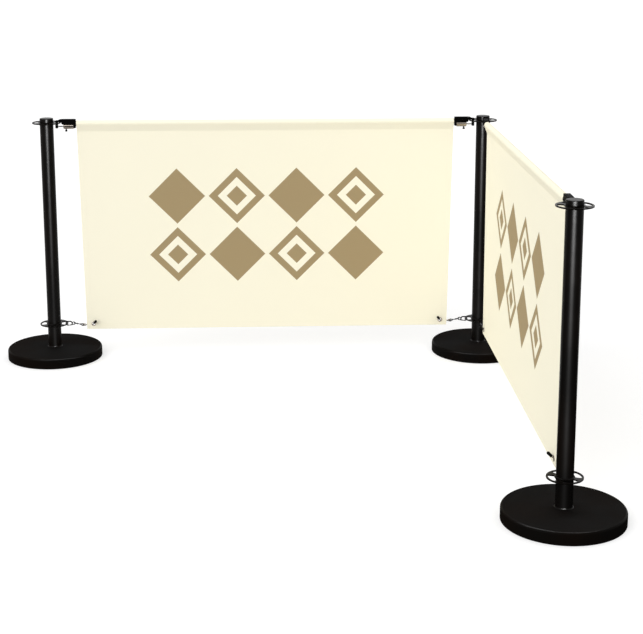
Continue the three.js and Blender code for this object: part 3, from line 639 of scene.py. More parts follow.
def clothMaterial(look):
    material, shader = newMaterial(look["name"], look["roughness"], look["specular"])
    add = partial(addNode, material.node_tree)
    spot = add("ShaderNodeUVMap", uv_map="UVMap").outputs[0]
    weave = useGroup(add, "weave", Map=spot, Pitch=look["pitch"])
    printed = useGroup(add, "lozenges", Map=spot)["Mask"]
    cream, tan = (blend(weave["Slub"], look[key], tuple(c * share for c in look[key]))
                  for key, share in zip(("cream", "print"), look["slub"]))
    # painted shade: the cream goes darker in the weave's hollows between the threads
    between = ramp(weave["Height"], 0.0, 0.35, look["gap"]["share"], 0.0)
    feed(shader["Base Color"], blend(between, blend(printed, cream, tan), look["gap"]["colour"]))
    feed(shader["Roughness"], ramp(printed, 0.0, 1.0, look["roughness"], look["printRoughness"]))
    bumpFrom(add, shader, weave["Height"], *look["bump"])
    return material


def cordMaterial(look):
    material, shader = newMaterial(look["name"], look["roughness"], look["specular"])
    add = partial(addNode, material.node_tree)
    height = useGroup(add, "braid")["Height"]
    # painted shade and highlight: dark in the braid's grooves, light on the crowns of the strands
    feed(shader["Base Color"], blend(ramp(height, 0.0, 0.6), *look["colours"]))
    bumpFrom(add, shader, height, *look["bump"])
    return material


makers = {"cloth": clothMaterial, "cord": cordMaterial}
materials = {finish: makers.get(finish, finishMaterial)(look) for finish, look in finishes.items()}
print("materials and trees built")


def evenlyShaded(mesh):
    # large faces keep their own direction, and the roundings between them take up the turn
    owner = shown("shading", mesh.copy())
    owner.modifiers.new("shading", "WEIGHTED_NORMAL").keep_sharp = True
    return plainMesh(owner)


def addPiece(name, mesh, place, body, finish, *nodes):
    # a finished piece: its place is in its mesh, and its object stays at the origin
    data, slot = evenlyShaded(mesh), finishes[finish]["slot"]
    data.name = name
    data.transform(place)
    data.materials.clear()
    data.materials.append(materials[finish])
    piece = shown(name, data)
    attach(piece, body)
    if nodes:
        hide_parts(*nodes)
    return piece


# Posts
rodHole = 5.4 * mm  # for the tie rod
coverSizes = millimetres(wall=1.5, edge=8, rim=39, seat=33, shoulder=20, lip=0.6)


def coverMesh():
    low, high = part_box("corner_base_cover")
    radius, size = halfWidthOf("corner_base_cover"), coverSizes
    wall, seat, lip = size["wall"], size["seat"], size["lip"]
    return turnedMesh(rounded([
        (rodHole, high.z), (seat, high.z, size["shoulder"]), (radius, size["rim"], size["edge"]),
        (radius, low.z, lip), (radius - wall, low.z, lip),
        (radius - wall, size["rim"] - wall, size["edge"] - wall),
        (seat, high.z - wall, size["shoulder"]), (rodHole, high.z - wall)], steps=10), sides=160)


padSizes = {**millimetres(edge=1, groove=0.8), "grooves": 4}


def padMesh():
    low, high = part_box("corner_floor_pad")
    radius, size = halfWidthOf("corner_floor_pad"), padSizes
    roof, step = low.z + size["groove"], radius / (size["grooves"] * 2)
    points = [(0, high.z), (0, roof)]
    for ring in range(size["grooves"]):
        foot = (ring * 2 + 1) * step
        points += [(foot, roof), (foot, low.z), (foot + step, low.z), (foot + step, roof)]
    points[-2:] = [(radius, low.z, size["edge"]), (radius, high.z)]
    return turnedMesh(rounded(points), sides=128)


tubeSizes = {**millimetres(wall=1.5, mouth=0.4, rootLeg=2.6, rootHeight=5), "rootSteps": 10, "round": 0.3}


def tubeMesh():
    # its root is a concave fillet of weld, and its mouth is broken at the edge
    low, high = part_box("corner_post_tube")
    radius, size = halfWidthOf("corner_top_cap"), tubeSizes
    bore, mouth = radius - size["wall"], size["mouth"]
    turns = [pi / 2 * k / size["rootSteps"] for k in range(size["rootSteps"] + 1)]
    root = [(radius + size["rootLeg"] * (1 - sin(a)), low.z + size["rootHeight"] * (1 - cos(a)))
            for a in turns]
    nearly = mouth * size["round"]
    return turnedMesh([(bore, low.z), *root, (radius, high.z - mouth), (radius - nearly, high.z - nearly),
                       (radius - mouth, high.z), (bore, high.z)], sides=112, sharp=50)


capSizes = millimetres(edge=2.5, spigot=13, spigotEdge=0.8, roof=14, joint=0.5)


def capMesh():
    low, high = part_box("corner_top_cap")
    radius, size = halfWidthOf("corner_top_cap"), capSizes
    roof, seat = low.z + size["roof"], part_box("corner_upper_plate")[1].z + gap
    return turnedMesh(rounded([
        (0, roof), (rodHole, roof), (rodHole, low.z), (size["spigot"], low.z, size["spigotEdge"]),
        (size["spigot"], seat), (radius, seat, size["joint"]), (radius, high.z, size["edge"]),
        (0, high.z)]), sides=112)


plateSizes = {**millimetres(slotInner=29.2, slotOuter=48, corner=4, thickness=4, edge=0.5, step=1.2),
              "span": radians(60), "slots": 4}


def plateMesh(node, bore):
    size = plateSizes
    values = {"Radius": halfWidthOf(node), "Bore": bore, "Slot Inner": size["slotInner"],
              "Slot Outer": size["slotOuter"], "Slot Span": size["span"], "Slot Corner": size["corner"],
              "Edge Step": size["step"], "Thickness": size["thickness"], "Slots": size["slots"]}
    stand = bpy.data.meshes.new("stand")
    stand.from_pydata([(0, 0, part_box(node)[0].z)], [], [])
    return softened(grown(stand, "plate", "coat", values), size["edge"])


beadSizes = {"leg": 2.4 * mm, "ripples": 36, "ripple": 0.05, "swells": 11, "swell": 0.03,
             "fullness": 1.3, "sides": 144, "steps": 5}


def weldBead(bore, height):
    # a fillet of weld round the tube, with the ripple of the torch
    work, size = bmesh.new(), beadSizes
    arc = [(x ** size["fullness"], y ** size["fullness"])
           for x, y in arcPoints(0, 0, 1, 0, 90, size["steps"])]
    rings = []
    for k in range(size["sides"]):
        angle = 2 * pi * k / size["sides"]
        leg = size["leg"] * (1 + size["ripple"] * sin(angle * size["ripples"])
                             + size["swell"] * sin(angle * size["swells"]))
        section = [(bore, height)] + [(bore + leg * x, height + leg * y) for x, y in arc]
        rings.append([work.verts.new((r * cos(angle), r * sin(angle), z)) for r, z in section])
    for ring, after in zip(rings, rings[1:] + rings[:1]):
        count = len(ring)
        for i in range(count):
            work.faces.new([ring[i], ring[(i + 1) % count], after[(i + 1) % count], after[i]])
    return meshFrom(work, sharp=60)


def lowerPlateMesh():
    tube = halfWidthOf("corner_top_cap") + gap
    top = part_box("corner_lower_plate")[0].z + plateSizes["thickness"]
    return joinedMesh(plateMesh("corner_lower_plate", tube), weldBead(tube, top))


postShapes = {
    "cover": (coverMesh(), "base_cover", "matte"),
    "pad": (padMesh(), "floor_pad", "rubber"),
    "tube": (tubeMesh(), "post_tube", "coat"),
    "cap": (capMesh(), "top_cap", "coat"),
    "lower_ring": (lowerPlateMesh(), "lower_plate", "coat"),
    "upper_ring": (plateMesh("corner_upper_plate", capSizes["spigot"] + gap), "upper_plate", "coat"),
}
litBy = {"tube": "strip", "cap": "strip", "cover": "overhead"}
lampLit = {"strip": [], "overhead": []}  # the pieces that each highlight lamp lights
for post, axis in postAxis.items():
    place = Matrix.Translation((axis.x, axis.y, 0)) @ Matrix.Rotation(postTurn[post], 4, "Z")
    for label, (mesh, node, finish) in postShapes.items():
        piece = addPiece(f"{post}_{label}", mesh, place, f"{post}_post", finish, f"{post}_{node}")
        if label in litBy:
            lampLit[litBy[label]].append(piece)
    for node, finish in (("base_weight", "iron"), ("tie_rod", "zinc")):
        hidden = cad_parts[f"{post}_{node}"].data
        hidden.materials.clear()
        hidden.materials.append(materials[finish])
print("posts built")


# Hook ends, in the frame of the front panel's inner end: X is the reach from the post's axis
def along(reach, height, across=0.0):
    return Vector((reach, across, height))


def ringPath(centre, radius, first, second, start, end, steps):
    turns = [radians(start + (end - start) * k / steps) for k in range(steps + 1)]
    return [centre + first * (radius * cos(t)) + second * (radius * sin(t)) for t in turns]


axisX, axisZ = Vector((1, 0, 0)), Vector((0, 0, 1))
headLow, headHigh = localBox("front_inner_hook_head")
barrelLow, barrelHigh = localBox("front_inner_latch_barrel")
boltLow = localBox("front_inner_latch_bolt")[0]
snapLow, snapHigh = localBox("front_inner_snap_hook")
gateLow, gateHigh = localBox("front_inner_snap_gate")
barLow, barHigh = localBox("front_crossbar")
bannerLow, bannerHigh = localBox("front_banner")
eyelet = sum(localBox("front_inner_eyelet"), Vector()) / 2
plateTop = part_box("corner_upper_plate")[1].z
plateRadius = halfWidthOf("corner_upper_plate")
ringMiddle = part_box("corner_lower_plate")[0].z + plateSizes["thickness"] / 2
boltAxis, barrelRadius = (barrelLow.z + barrelHigh.z) / 2, (barrelHigh.z - barrelLow.z) / 2
barAxis, barRadius = (barLow.z + barHigh.z) / 2, (barHigh.z - barLow.z) / 2

screwSizes = millimetres(radius=2.6, height=1.5, edge=0.35, socket=1.3, socketFoot=0.5, reach=76,
                         drop=11, sunk=1.2, over=1)
barrelSizes = millimetres(bore=6.6, endWall=4, edge=1.2, hole=2.85, holeEdge=0.4, step=0.6, inset=2,
                          stepEdge=0.3)
headSizes = millimetres(finger=10, fingerWidth=10, fingerEdge=0.9, width=20, edge=1.2, corner=1.5,
                        armCorner=1, chamfer=7, chamferCorner=2, nose=4, rimClearance=2.5, rimCorner=1.3,
                        cradle=2, skirt=7, spigot=8.3, spigotRoot=3, spigotEdge=1)


def headMesh():
    size = headSizes
    corner, nose = size["corner"], size["nose"]
    fingerIn, fingerOut = headLow.x, headLow.x + size["finger"]
    start, arm = plateRadius + size["rimClearance"], plateTop + gap
    end, top, foot = barLow.x - gap, headHigh.z, headLow.z
    under, skirt = boltAxis + barrelRadius - size["cradle"], barAxis - barRadius - size["skirt"]
    wall = barrelHigh.x + gap
    claw = slabMesh(rounded([
        (fingerIn, foot, corner), (fingerOut, foot, corner), (fingerOut, arm, size["armCorner"]),
        (start + nose, arm), (start + nose, top),
        (fingerOut + size["chamfer"], top, size["chamferCorner"]),
        (fingerOut, top - nose, size["chamferCorner"]), (fingerIn, top - nose, nose)]),
        size["fingerWidth"], size["fingerEdge"])
    block = slabMesh(rounded([
        (start, under + nose, corner), (start + nose, under, corner), (wall, under),
        (wall, skirt, corner), (end, skirt, corner), (end, top, corner), (plateRadius, top, corner),
        (plateRadius, arm, size["rimCorner"]), (start, arm)]), size["width"], size["edge"])
    length = headHigh.x - end + size["spigotRoot"]
    spigot = turnedMesh(rounded([
        (0, 0), (size["spigot"], 0), (size["spigot"], length, size["spigotEdge"]), (0, length)]),
        sides=48)
    cradle = rodMesh(along(barrelLow.x - barrelSizes["endWall"], boltAxis), along(wall, boltAxis),
                     barrelRadius + gap, 64)
    hole = rodMesh(along(boltLow.x - gap, boltAxis), along(start, boltAxis), barrelSizes["hole"])
    face, height, reach = size["width"] / 2, top - screwSizes["drop"], screwSizes["reach"]
    wells = [rodMesh(along(reach, height, side * (face - screwSizes["sunk"])),
                     along(reach, height, side * (face + screwSizes["over"])),
                     screwSizes["radius"] + gap, 40)
             for side in (-1, 1)]
    return cut(fused(claw, block, laid(spigot, end - size["spigotRoot"], barAxis)), cradle, hole, *wells)


def screwMesh(side):
    # a small socket screw that clamps the barrel
    size = screwSizes
    profile = rounded([(0, 0), (size["radius"], 0), (size["radius"], size["height"], size["edge"]),
                       (0, size["height"])])
    socket = rodMesh((0, 0, size["socketFoot"]), (0, 0, size["height"] + size["socketFoot"]),
                     size["socket"] * 2 / sqrt(3), 6)
    foot = along(size["reach"], headHigh.z - size["drop"], side * (headSizes["width"] / 2 - size["sunk"]))
    return moved(cut(turnedMesh(profile, sides=32), socket), foot, -side * pi / 2)


boltSizes = millimetres(radius=2.5, tipEdge=0.9, collar=6.25, collarLength=6, collarEdge=0.5,
                        rootEdge=0.3, stem=2, stemSunk=2, slotWidth=4.7, travel=13, reach=73)
knobSizes = millimetres(radius=4.75, neck=2.9, length=9, dome=2.6, mouth=1.2, rim=1, rimEdge=0.5)


def barrelMesh():
    # a bright tube with a long slot below for the knob's stem
    size, length = barrelSizes, barrelHigh.x - barrelLow.x
    inset, edge, wall = barrelRadius - size["inset"], size["stepEdge"], size["endWall"]
    shell = turnedMesh(rounded([
        (size["hole"], 0, size["holeEdge"]), (inset, 0, edge), (inset, size["step"], edge),
        (barrelRadius, size["step"], size["edge"]), (barrelRadius, length, size["edge"]), (0, length),
        (0, length - wall), (size["bore"], length - wall), (size["bore"], wall), (size["hole"], wall)]),
        sides=72)
    half, below = boltSizes["slotWidth"] / 2, boltAxis - barrelRadius * 1.2  # past the wall
    ends = (boltSizes["reach"], boltSizes["reach"] + boltSizes["travel"])
    slot = boxMesh(along(ends[0], below, -half), along(ends[1], boltAxis, half))
    rounds = [rodMesh(along(end, below), along(end, boltAxis), half) for end in ends]
    return cut(laid(shell, barrelLow.x, boltAxis), fused(slot, *rounds))


def boltMesh():
    size = boltSizes
    end = size["reach"] + size["collarLength"] / 2 - boltLow.x
    root = end - size["collarLength"]
    pin = turnedMesh(rounded([
        (0, 0), (size["radius"], 0, size["tipEdge"]), (size["radius"], root, size["rootEdge"]),
        (size["collar"], root, size["collarEdge"]), (size["collar"], end, size["collarEdge"]), (0, end)]),
        sides=48)
    foot = boltLow.z + knobSizes["length"] - size["stemSunk"]
    stem = rodMesh(along(size["reach"], foot), along(size["reach"], boltAxis), size["stem"])
    return fused(laid(pin, boltLow.x, boltAxis), stem)


def knobMesh():
    # a small bell-shaped pull, round below
    size = knobSizes
    radius, neck, dome = size["radius"], size["neck"], size["dome"]
    belly, high = boltLow.z + dome, boltLow.z + size["length"]
    lower = [(radius * x, belly + dome * y) for x, y in arcPoints(0, 0, 1, -90, 0, 8)]
    flank = [(neck + (radius - neck) * (0.5 + 0.5 * cos(pi * k / 8)),
              belly + (high - size["mouth"] - belly) * k / 8) for k in range(1, 9)]
    top = rounded([(neck, high - size["rim"]), (neck, high, size["rimEdge"]), (0, high)])
    return moved(turnedMesh([*lower, *flank, *top], sides=40), (boltSizes["reach"], 0, 0))


def taperedPath(points, radius, first, last, steps=5):
    # a path whose ends are round: extra points near each end, thinner by a quarter circle
    path, shares = [Vector(p) for p in points], [1.0] * len(points)
    turns = [radians(4 + 86 * k / steps) for k in range(steps + 1)]  # never quite no thickness
    for wanted in (first, last):
        if wanted:
            tip, rest = path[0], [p for p in path if (p - path[0]).length > radius * 1.2]
            onward = (rest[0] - tip).normalized()
            path = [tip + onward * radius * (1 - cos(turn)) for turn in turns] + rest
            shares = [sin(turn) for turn in turns] + shares[len(shares) - len(rest):]
        path, shares = path[::-1], shares[::-1]
    return path, shares


def wireMesh(points, radius, sides, finish, first=True, last=True):
    path, shares = taperedPath(points, radius, first, last)
    mesh = grown(lineMesh([path], shares), "wire", finish, {"Radius": radius, "Sides": sides})
    work = bmesh.new()
    work.from_mesh(mesh)
    bmesh.ops.recalc_face_normals(work, faces=work.faces)
    work.to_mesh(mesh)
    work.free()
    return mesh


snapSizes = {**millimetres(wire=2.25, bend=7.5, arm=8.5, nose=5, eye=5.4, eyeWire=1.5, knuckleDrop=6,
                           tongue=2.2, tongueThickness=2, tongueEdge=0.3, pin=0.8, play=0.15),
             "steps": 14}
gateSizes = {**millimetres(half=1.5, tip=0.6, edge=0.35, slack=0.3, cut=9, pinSunk=0.15),
             "open": radians(30)}
snapBend = snapLow.x + snapSizes["wire"] + snapSizes["bend"]
snapOuter = snapBend + snapSizes["arm"] + snapSizes["bend"]
snapEye = snapHigh.x - snapSizes["eye"] - snapSizes["eyeWire"]
knuckle = ringMiddle - snapSizes["knuckleDrop"]


def snapMesh():
    # a wire hook round the plate's rim, with an eye for the cord and a tongue that holds the gate's pin
    size, middle, bend = snapSizes, ringMiddle, snapSizes["bend"]
    path = [along(snapBend + size["nose"], middle - bend)]
    path += ringPath(along(snapBend, middle), bend, axisX, axisZ, 270, 90, size["steps"])
    path += ringPath(along(snapOuter - bend, middle), bend, axisX, axisZ, 90, 0, size["steps"] // 2)
    wire = wireMesh(path, size["wire"], 14, "steel", last=False)
    eye = moved(turnedMesh(arcPoints(size["eye"], 0, size["eyeWire"], 0, 360, 16)[:-1], sides=40),
                along(snapEye, middle), pi / 2)
    half = size["tongue"]
    foot = half * 0.98  # almost a half circle
    tongue = rounded([(snapOuter - half, knuckle - half, foot), (snapOuter + half, knuckle - half, foot),
                      (snapOuter + half, middle), (snapOuter - half, middle)])
    hole = rodMesh(along(snapOuter, knuckle, -size["wire"]), along(snapOuter, knuckle, size["wire"]),
                   size["pin"] + size["play"], 24)
    return cut(fused(wire, eye, slabMesh(tongue, size["tongueThickness"], size["tongueEdge"])), hole)


def gateMesh():
    size, half = gateSizes, gateSizes["half"]
    level, width = ringMiddle - snapSizes["bend"], gateHigh.y - gateLow.y
    bar = arcPoints(snapOuter, knuckle, half, -90, 90, 10)
    bar += rounded([
        (snapOuter, knuckle + half), (gateLow.x, level + half, size["tip"]),
        (gateLow.x, level - half, size["tip"]), (snapOuter, knuckle - half)])[1:-1]
    # the fork's notch is long enough for it to clear the tongue when the gate is open
    notch = (snapSizes["tongue"] + size["slack"] + half * sin(size["open"])) / cos(size["open"])
    slit = snapSizes["tongueThickness"] / 2 + size["slack"]
    cutter = boxMesh(along(snapOuter - notch, knuckle - size["cut"], -slit),
                     along(snapOuter + notch, knuckle + size["cut"], slit))
    side = width / 2 - size["pinSunk"]
    pin = rodMesh(along(snapOuter, knuckle, -side), along(snapOuter, knuckle, side), snapSizes["pin"], 24)
    return fused(cut(slabMesh(bar, width, size["edge"]), cutter), pin)


hookSizes = {**millimetres(wire=2, eye=6.4, eyeGap=1.5, neck=4, bend=6, depth=7, seat=3.2),
             "angle": 65, "eyeMouth": 38, "tilt": radians(40)}
tipSizes = {**millimetres(radius=5, length=20, clearance=0.5, lip=0.5, curve=20),
            "profile": ((0, 0.9), (0.3, 0.92), (0.55, 1))}  # shares of the length and the radius
eyeletSizes = millimetres(bore=5.5, wall=0.6, flange=4, thickness=0.8, face=0.8, roll=0.7)
bannerTaper = 14 * mm


def sideEdge(height):
    share = (bannerHigh.z - height) / (bannerHigh.z - bannerLow.z)
    return bannerLow.x + bannerTaper * share


hookEye = sideEdge(eyelet.z) - hookSizes["eye"] - hookSizes["wire"] - hookSizes["eyeGap"]
hookCrossing = eyelet.x - (eyeletSizes["bore"] - hookSizes["wire"] - hookSizes["seat"])


def tipDirection(side):
    return Vector((0, side * cos(hookSizes["tilt"]), sin(hookSizes["tilt"])))


def shankPoint(reach, tipway):
    return along(reach, eyelet.z) - tipway * hookSizes["depth"]


def hookShape(side):
    # the path of the corner hook's wire, and where its coated tip starts and points
    size, tipway = hookSizes, tipDirection(side)
    lean = radians(size["angle"] - 90)
    rise = size["bend"] * (1 + sin(lean))
    bendStart = hookCrossing - size["bend"] * cos(lean) + (size["depth"] - rise) * tan(lean)
    centre = shankPoint(bendStart, tipway) + tipway * size["bend"]
    onward = tipway * cos(lean) - axisX * sin(lean)
    bend = ringPath(centre, size["bend"], axisX, tipway, -90, size["angle"] - 90, 12)
    slant = acos(cos(lean) * cos(size["tilt"]))
    tipHeight = (eyeletSizes["face"] + eyeletSizes["thickness"] + tipSizes["clearance"]
                 + tipSizes["radius"] * sin(slant))
    tipStart = bend[-1] + onward * ((tipHeight / cos(size["tilt"]) + size["depth"] - rise) / cos(lean))
    eyeCentre = shankPoint(hookEye, tipway)
    neck = sqrt(size["eye"] ** 2 + 2 * size["eye"] * size["neck"])
    turn = -degrees(atan2(size["neck"], neck))
    path = ringPath(eyeCentre, size["eye"], axisX, tipway, size["eyeMouth"], 360 + turn, 36)
    bow = eyeCentre + axisX * neck - tipway * size["neck"]
    path += ringPath(bow, size["neck"], axisX, tipway, 180 + turn, 90, 8)[1:]
    return [*path, *bend, tipStart + onward * tipSizes["length"] / 2], tipStart, onward


def cornerHookMesh(side):
    return wireMesh(hookShape(side)[0], hookSizes["wire"], 16, "chrome")


def coatedTipMesh(side):
    # widest near its round end
    start, onward = hookShape(side)[1:]
    radius, length, size = tipSizes["radius"], tipSizes["length"], tipSizes
    first, second, third = [(radius * wide, length * far) for far, wide in size["profile"]]
    profile = rounded([(0, 0), (*first, size["lip"]), (*second, size["curve"]), third])
    mesh = turnedMesh(profile + arcPoints(0, length - radius, radius, 0, 90, 10), sides=36)
    mesh.transform(Matrix.Translation(start) @ axisZ.rotation_difference(onward).to_matrix().to_4x4())
    return mesh


def eyeletMesh():
    # two washers rolled over a short barrel
    size = eyeletSizes
    bore, face, front = size["bore"], size["face"], size["face"] + size["thickness"]
    outer, wall, roll = bore + size["flange"], bore + size["wall"], size["roll"]
    profile = rounded([
        (bore, -front, roll), (outer, -front, roll), (outer, -face), (wall, -face), (wall, face),
        (outer, face), (outer, front, roll), (bore, front, roll)], steps=6)
    return moved(turnedMesh(profile, sides=56), eyelet, pi / 2)


cordSizes = {**millimetres(radius=1.75, play=0.8, whip=3.2, whipLength=5, loop=8, thread=0.42),
             "legShare": 0.45, "pitchShare": 2.05, "turnSteps": 18}


def cordEnds(side):
    # for each end: where an eye holds the cord, the way to the other end, the eye's own upright, its wire
    tipway = tipDirection(side)
    near = along(snapEye + snapSizes["eye"], ringMiddle)
    far = shankPoint(hookEye - hookSizes["eye"], tipway)
    onward = (far - near).normalized()
    return (near, onward, axisZ, snapSizes["eyeWire"]), (far, -onward, tipway, hookSizes["wire"])


def cordLoopPath(centre, onward, across, radius):
    # out of the whipping, round the eye and back
    size = cordSizes
    spread = size["radius"] * size["legShare"]
    turns = degrees(atan2(spread, size["loop"]) + acos(radius / hypot(size["loop"], spread)))
    leg = centre + onward * size["loop"]
    loop = ringPath(centre, radius, onward, across, turns, 360 - turns, 20)
    return [leg + across * spread, *loop, leg - across * spread]


def cordMesh(side):
    size = cordSizes
    paths = [[foot + way * size["loop"] for foot, way, *_ in cordEnds(side)]]
    for foot, way, upright, wire in cordEnds(side):
        across = upright.cross(way).normalized()
        paths.append(cordLoopPath(foot, way, across, wire + size["radius"] + size["play"]))
    return joinedMesh(*(wireMesh(path, size["radius"], 16, "cord", False, False) for path in paths))


def whippingMesh(side):
    # thread wound tightly over each end of the cord, as one helix
    size, meshes = cordSizes, []
    thread, radius = size["thread"], size["whip"] - size["thread"]
    run = size["whipLength"] - 2 * thread
    turns = size["whipLength"] / (thread * size["pitchShare"])
    steps = int(turns * size["turnSteps"])
    for foot, way, *_ in cordEnds(side):
        start = foot + way * (size["loop"] - size["radius"] + thread)
        across = way.orthogonal().normalized()
        circles = ringPath(start, radius, across, way.cross(across), 0, 360 * turns, steps)
        helix = [spot + way * (run * k / steps) for k, spot in enumerate(circles)]
        meshes += [rodMesh(start, start + way * run, radius, 24), wireMesh(helix, thread, 6, "cord")]
    return joinedMesh(*meshes)


barSizes = millimetres(wall=1.5, edge=0.4)


def barMesh():
    length, edge, bore = barHigh.x - barLow.x, barSizes["edge"], barRadius - barSizes["wall"]
    profile = rounded([(bore, 0), (barRadius, 0, edge), (barRadius, length, edge), (bore, length)])
    return laid(turnedMesh(profile, sides=72), barLow.x, barAxis)


# name -> mesh, what it rides on, finish, and the node that it replaces, if any
endShapes = {
    "claw": (headMesh(), "panel", "steel", "hook_head"),
    "screws": (joinedMesh(screwMesh(-1), screwMesh(1)), "panel", "steel"),
    "barrel": (barrelMesh(), "panel", "chrome", "latch_barrel"),
    "pin": (boltMesh(), "bolt", "zinc", "latch_bolt"),
    "knob": (knobMesh(), "bolt", "vinyl"),
    "snap": (snapMesh(), "panel", "steel", "snap_hook"),
    "keeper": (gateMesh(), "gate", "steel", "snap_gate"),
}
sidedShapes = {side: {
    "hook": (cornerHookMesh(side), "panel", "chrome", "corner_hook"),
    "hook_tip": (coatedTipMesh(side), "panel", "vinyl"),
    "cord": (cordMesh(side), "panel", "cord", "tension_cord"),
    "whipping": (whippingMesh(side), "panel", "cord"),
    "ring": (eyeletMesh(), "panel", "chrome", "eyelet"),
} for side in (-1, 1)}
for panel in panelTurn:
    addPiece(f"{panel}_bar", barMesh(), panelMatrix(panel), f"{panel}_panel", "coat", f"{panel}_crossbar")
    for end in ("inner", "outer"):
        name, place = f"{panel}_{end}", endMatrix(panel, end)
        riders = {"panel": f"{panel}_panel", "bolt": f"{name}_bolt", "gate": f"{name}_gate"}
        shapes = {**endShapes, **sidedShapes[tipSide(panel, end)]}
        for label, (mesh, rider, finish, *nodes) in shapes.items():
            replaced = [f"{name}_{node}" for node in nodes]
            addPiece(f"{name}_{label}", mesh, place, riders[rider], finish, *replaced)
print("hook ends built")


# Banners: one cloth, folded at the foot and sides, and sewn into a sleeve over the bar
clothSizes = millimetres(thickness=0.62, layer=0.34, hem=25, seam=30, allowance=26, slope=1, step=14,
                         drift=0.9, softBend=14, punch=5)
clothWaves = ((9, 2.2, 0, 0.6), (4.1, -3, 1, 0.5))  # turn across, turn up, start and share of each
stitchSizes = {**millimetres(pitch=3.6, length=3.0, thread=0.5, inset=4, ends=2, clear=3),
               "columns": 90, "levels": 60}  # the points of each row and column
clothWidth = spacing - 2 * bannerLow.x
seamHeight = barAxis - clothSizes["seam"]
sleeveRadius = (bannerHigh.z - barAxis) - clothSizes["thickness"] / 2


def foldLevels():
    # the heights between which the side hems are doubled, each with its short slope
    low, high = bannerLow.z + clothSizes["hem"], seamHeight - clothSizes["allowance"]
    slope = clothSizes["slope"]
    return [low + slope, low + 2 * slope, high - 2 * slope, high - slope]


def clothSection():
    # the cloth's middle line in local Y and Z, from the turned-up hem round the bar to the seam allowance
    size, layer, low = clothSizes, clothSizes["layer"], bannerLow.z + clothSizes["thickness"] / 2
    reach = hypot(layer, size["seam"])
    tangent = 90 - degrees(atan2(layer, size["seam"]) + acos(sleeveRadius / reach))
    line = rounded([
        (-layer, low + size["hem"]), *arcPoints(0, low + layer, layer, 180, 360, 6),
        *((layer, z) for z in foldLevels()), (layer, seamHeight, size["softBend"]),
        *arcPoints(0, barAxis, sleeveRadius, -tangent, 180 + tangent, 40),
        (-layer, seamHeight, size["softBend"]), (-layer, seamHeight - size["allowance"])], steps=6)
    fine = [Vector(line[0])]
    for spot in map(Vector, line[1:]):
        start = fine[-1]
        count = max(1, round((spot - start).length / size["step"]))
        fine += [start.lerp(spot, (k + 1) / count) for k in range(count)]
    return fine


def drift(reach, height):
    # the slight waves of a stretched cloth: none at the bar, the hems and the corners
    across = (reach - spacing / 2) / (clothWidth / 2)
    up = (height - bannerLow.z) / (seamHeight - bannerLow.z)
    if not 0 < up < 1 or abs(across) >= 1:
        return 0.0
    window = (1 - across ** 4) * sin(pi * up) ** 0.7
    waves = [sin(across * wide + up * tall + start) * share for wide, tall, start, share in clothWaves]
    return clothSizes["drift"] * window * sum(waves)


def columnShares():
    # places across the cloth, closer together at the side hems
    hem, columns = clothSizes["hem"] / clothWidth, 96
    inner = [hem + (1 - 2 * hem) * k / columns for k in range(columns + 1)]
    edge = [hem * share for share in (0, 0.02, 0.3, 0.6, 0.985)]
    return edge + inner + [1 - share for share in reversed(edge)]


def clothMesh(panel):
    # the mesh and the length of its middle line
    size, side, half = clothSizes, cameraSide[panel], clothSizes["thickness"] / 2
    line, shares, levels = clothSection(), columnShares(), foldLevels()
    hemShare = size["hem"] / clothWidth
    lengths = [0.0]
    for before, spot in zip(line, line[1:]):
        lengths.append(lengths[-1] + (spot - before).length)
    foot = min((spot for spot in line if spot.x > 0), key=lambda spot: spot.y)
    origin = lengths[line.index(foot)] - (foot.y - (bannerLow.z + bannerHigh.z) / 2)
    work = bmesh.new()
    mapLayer = work.loops.layers.uv.new("UVMap")
    front, back, spots = [], [], {}
    for i, spot in enumerate(line):
        way = (line[min(i + 1, len(line) - 1)] - line[max(i - 1, 0)]).normalized()
        off = Vector((way.y, -way.x)) * half
        edge = sideEdge(spot.y)
        main = spot.x > 0 and levels[1] - weld < spot.y < levels[2] + weld
        front.append([])
        back.append([])
        for share in shares:
            reach = edge + (spacing - 2 * edge) * share
            folded = main and not hemShare < share < 1 - hemShare
            for row, (y, z), fold in ((front[-1], spot + off, 0.0),
                                      (back[-1], spot - off, 2 * size["layer"] * folded)):
                vert = work.verts.new((reach, side * (y - fold + drift(reach, z)), z))
                spots[vert] = (reach - spacing / 2, lengths[i] - origin)
                row.append(vert)

    def patch(*corners):
        for loop in work.faces.new(corners).loops:
            loop[mapLayer].uv = spots[loop.vert]

    around = front + back[::-1]
    for low, high in zip(around, around[1:] + around[:1]):
        for k in range(len(shares) - 1):
            patch(low[k], low[k + 1], high[k + 1], high[k])
    for k in (0, -1):
        for i in range(len(line) - 1):
            patch(front[i][k], front[i + 1][k], back[i + 1][k], back[i][k])
    hole, punch = eyeletSizes["bore"] + eyeletSizes["wall"] + gap, size["punch"]
    punches = [rodMesh(along(reach, eyelet.z, -punch), along(reach, eyelet.z, punch), hole, 40)
               for reach in (eyelet.x, spacing - eyelet.x)]
    return cut(meshFrom(work, sharp=40), *punches), lengths[-1]


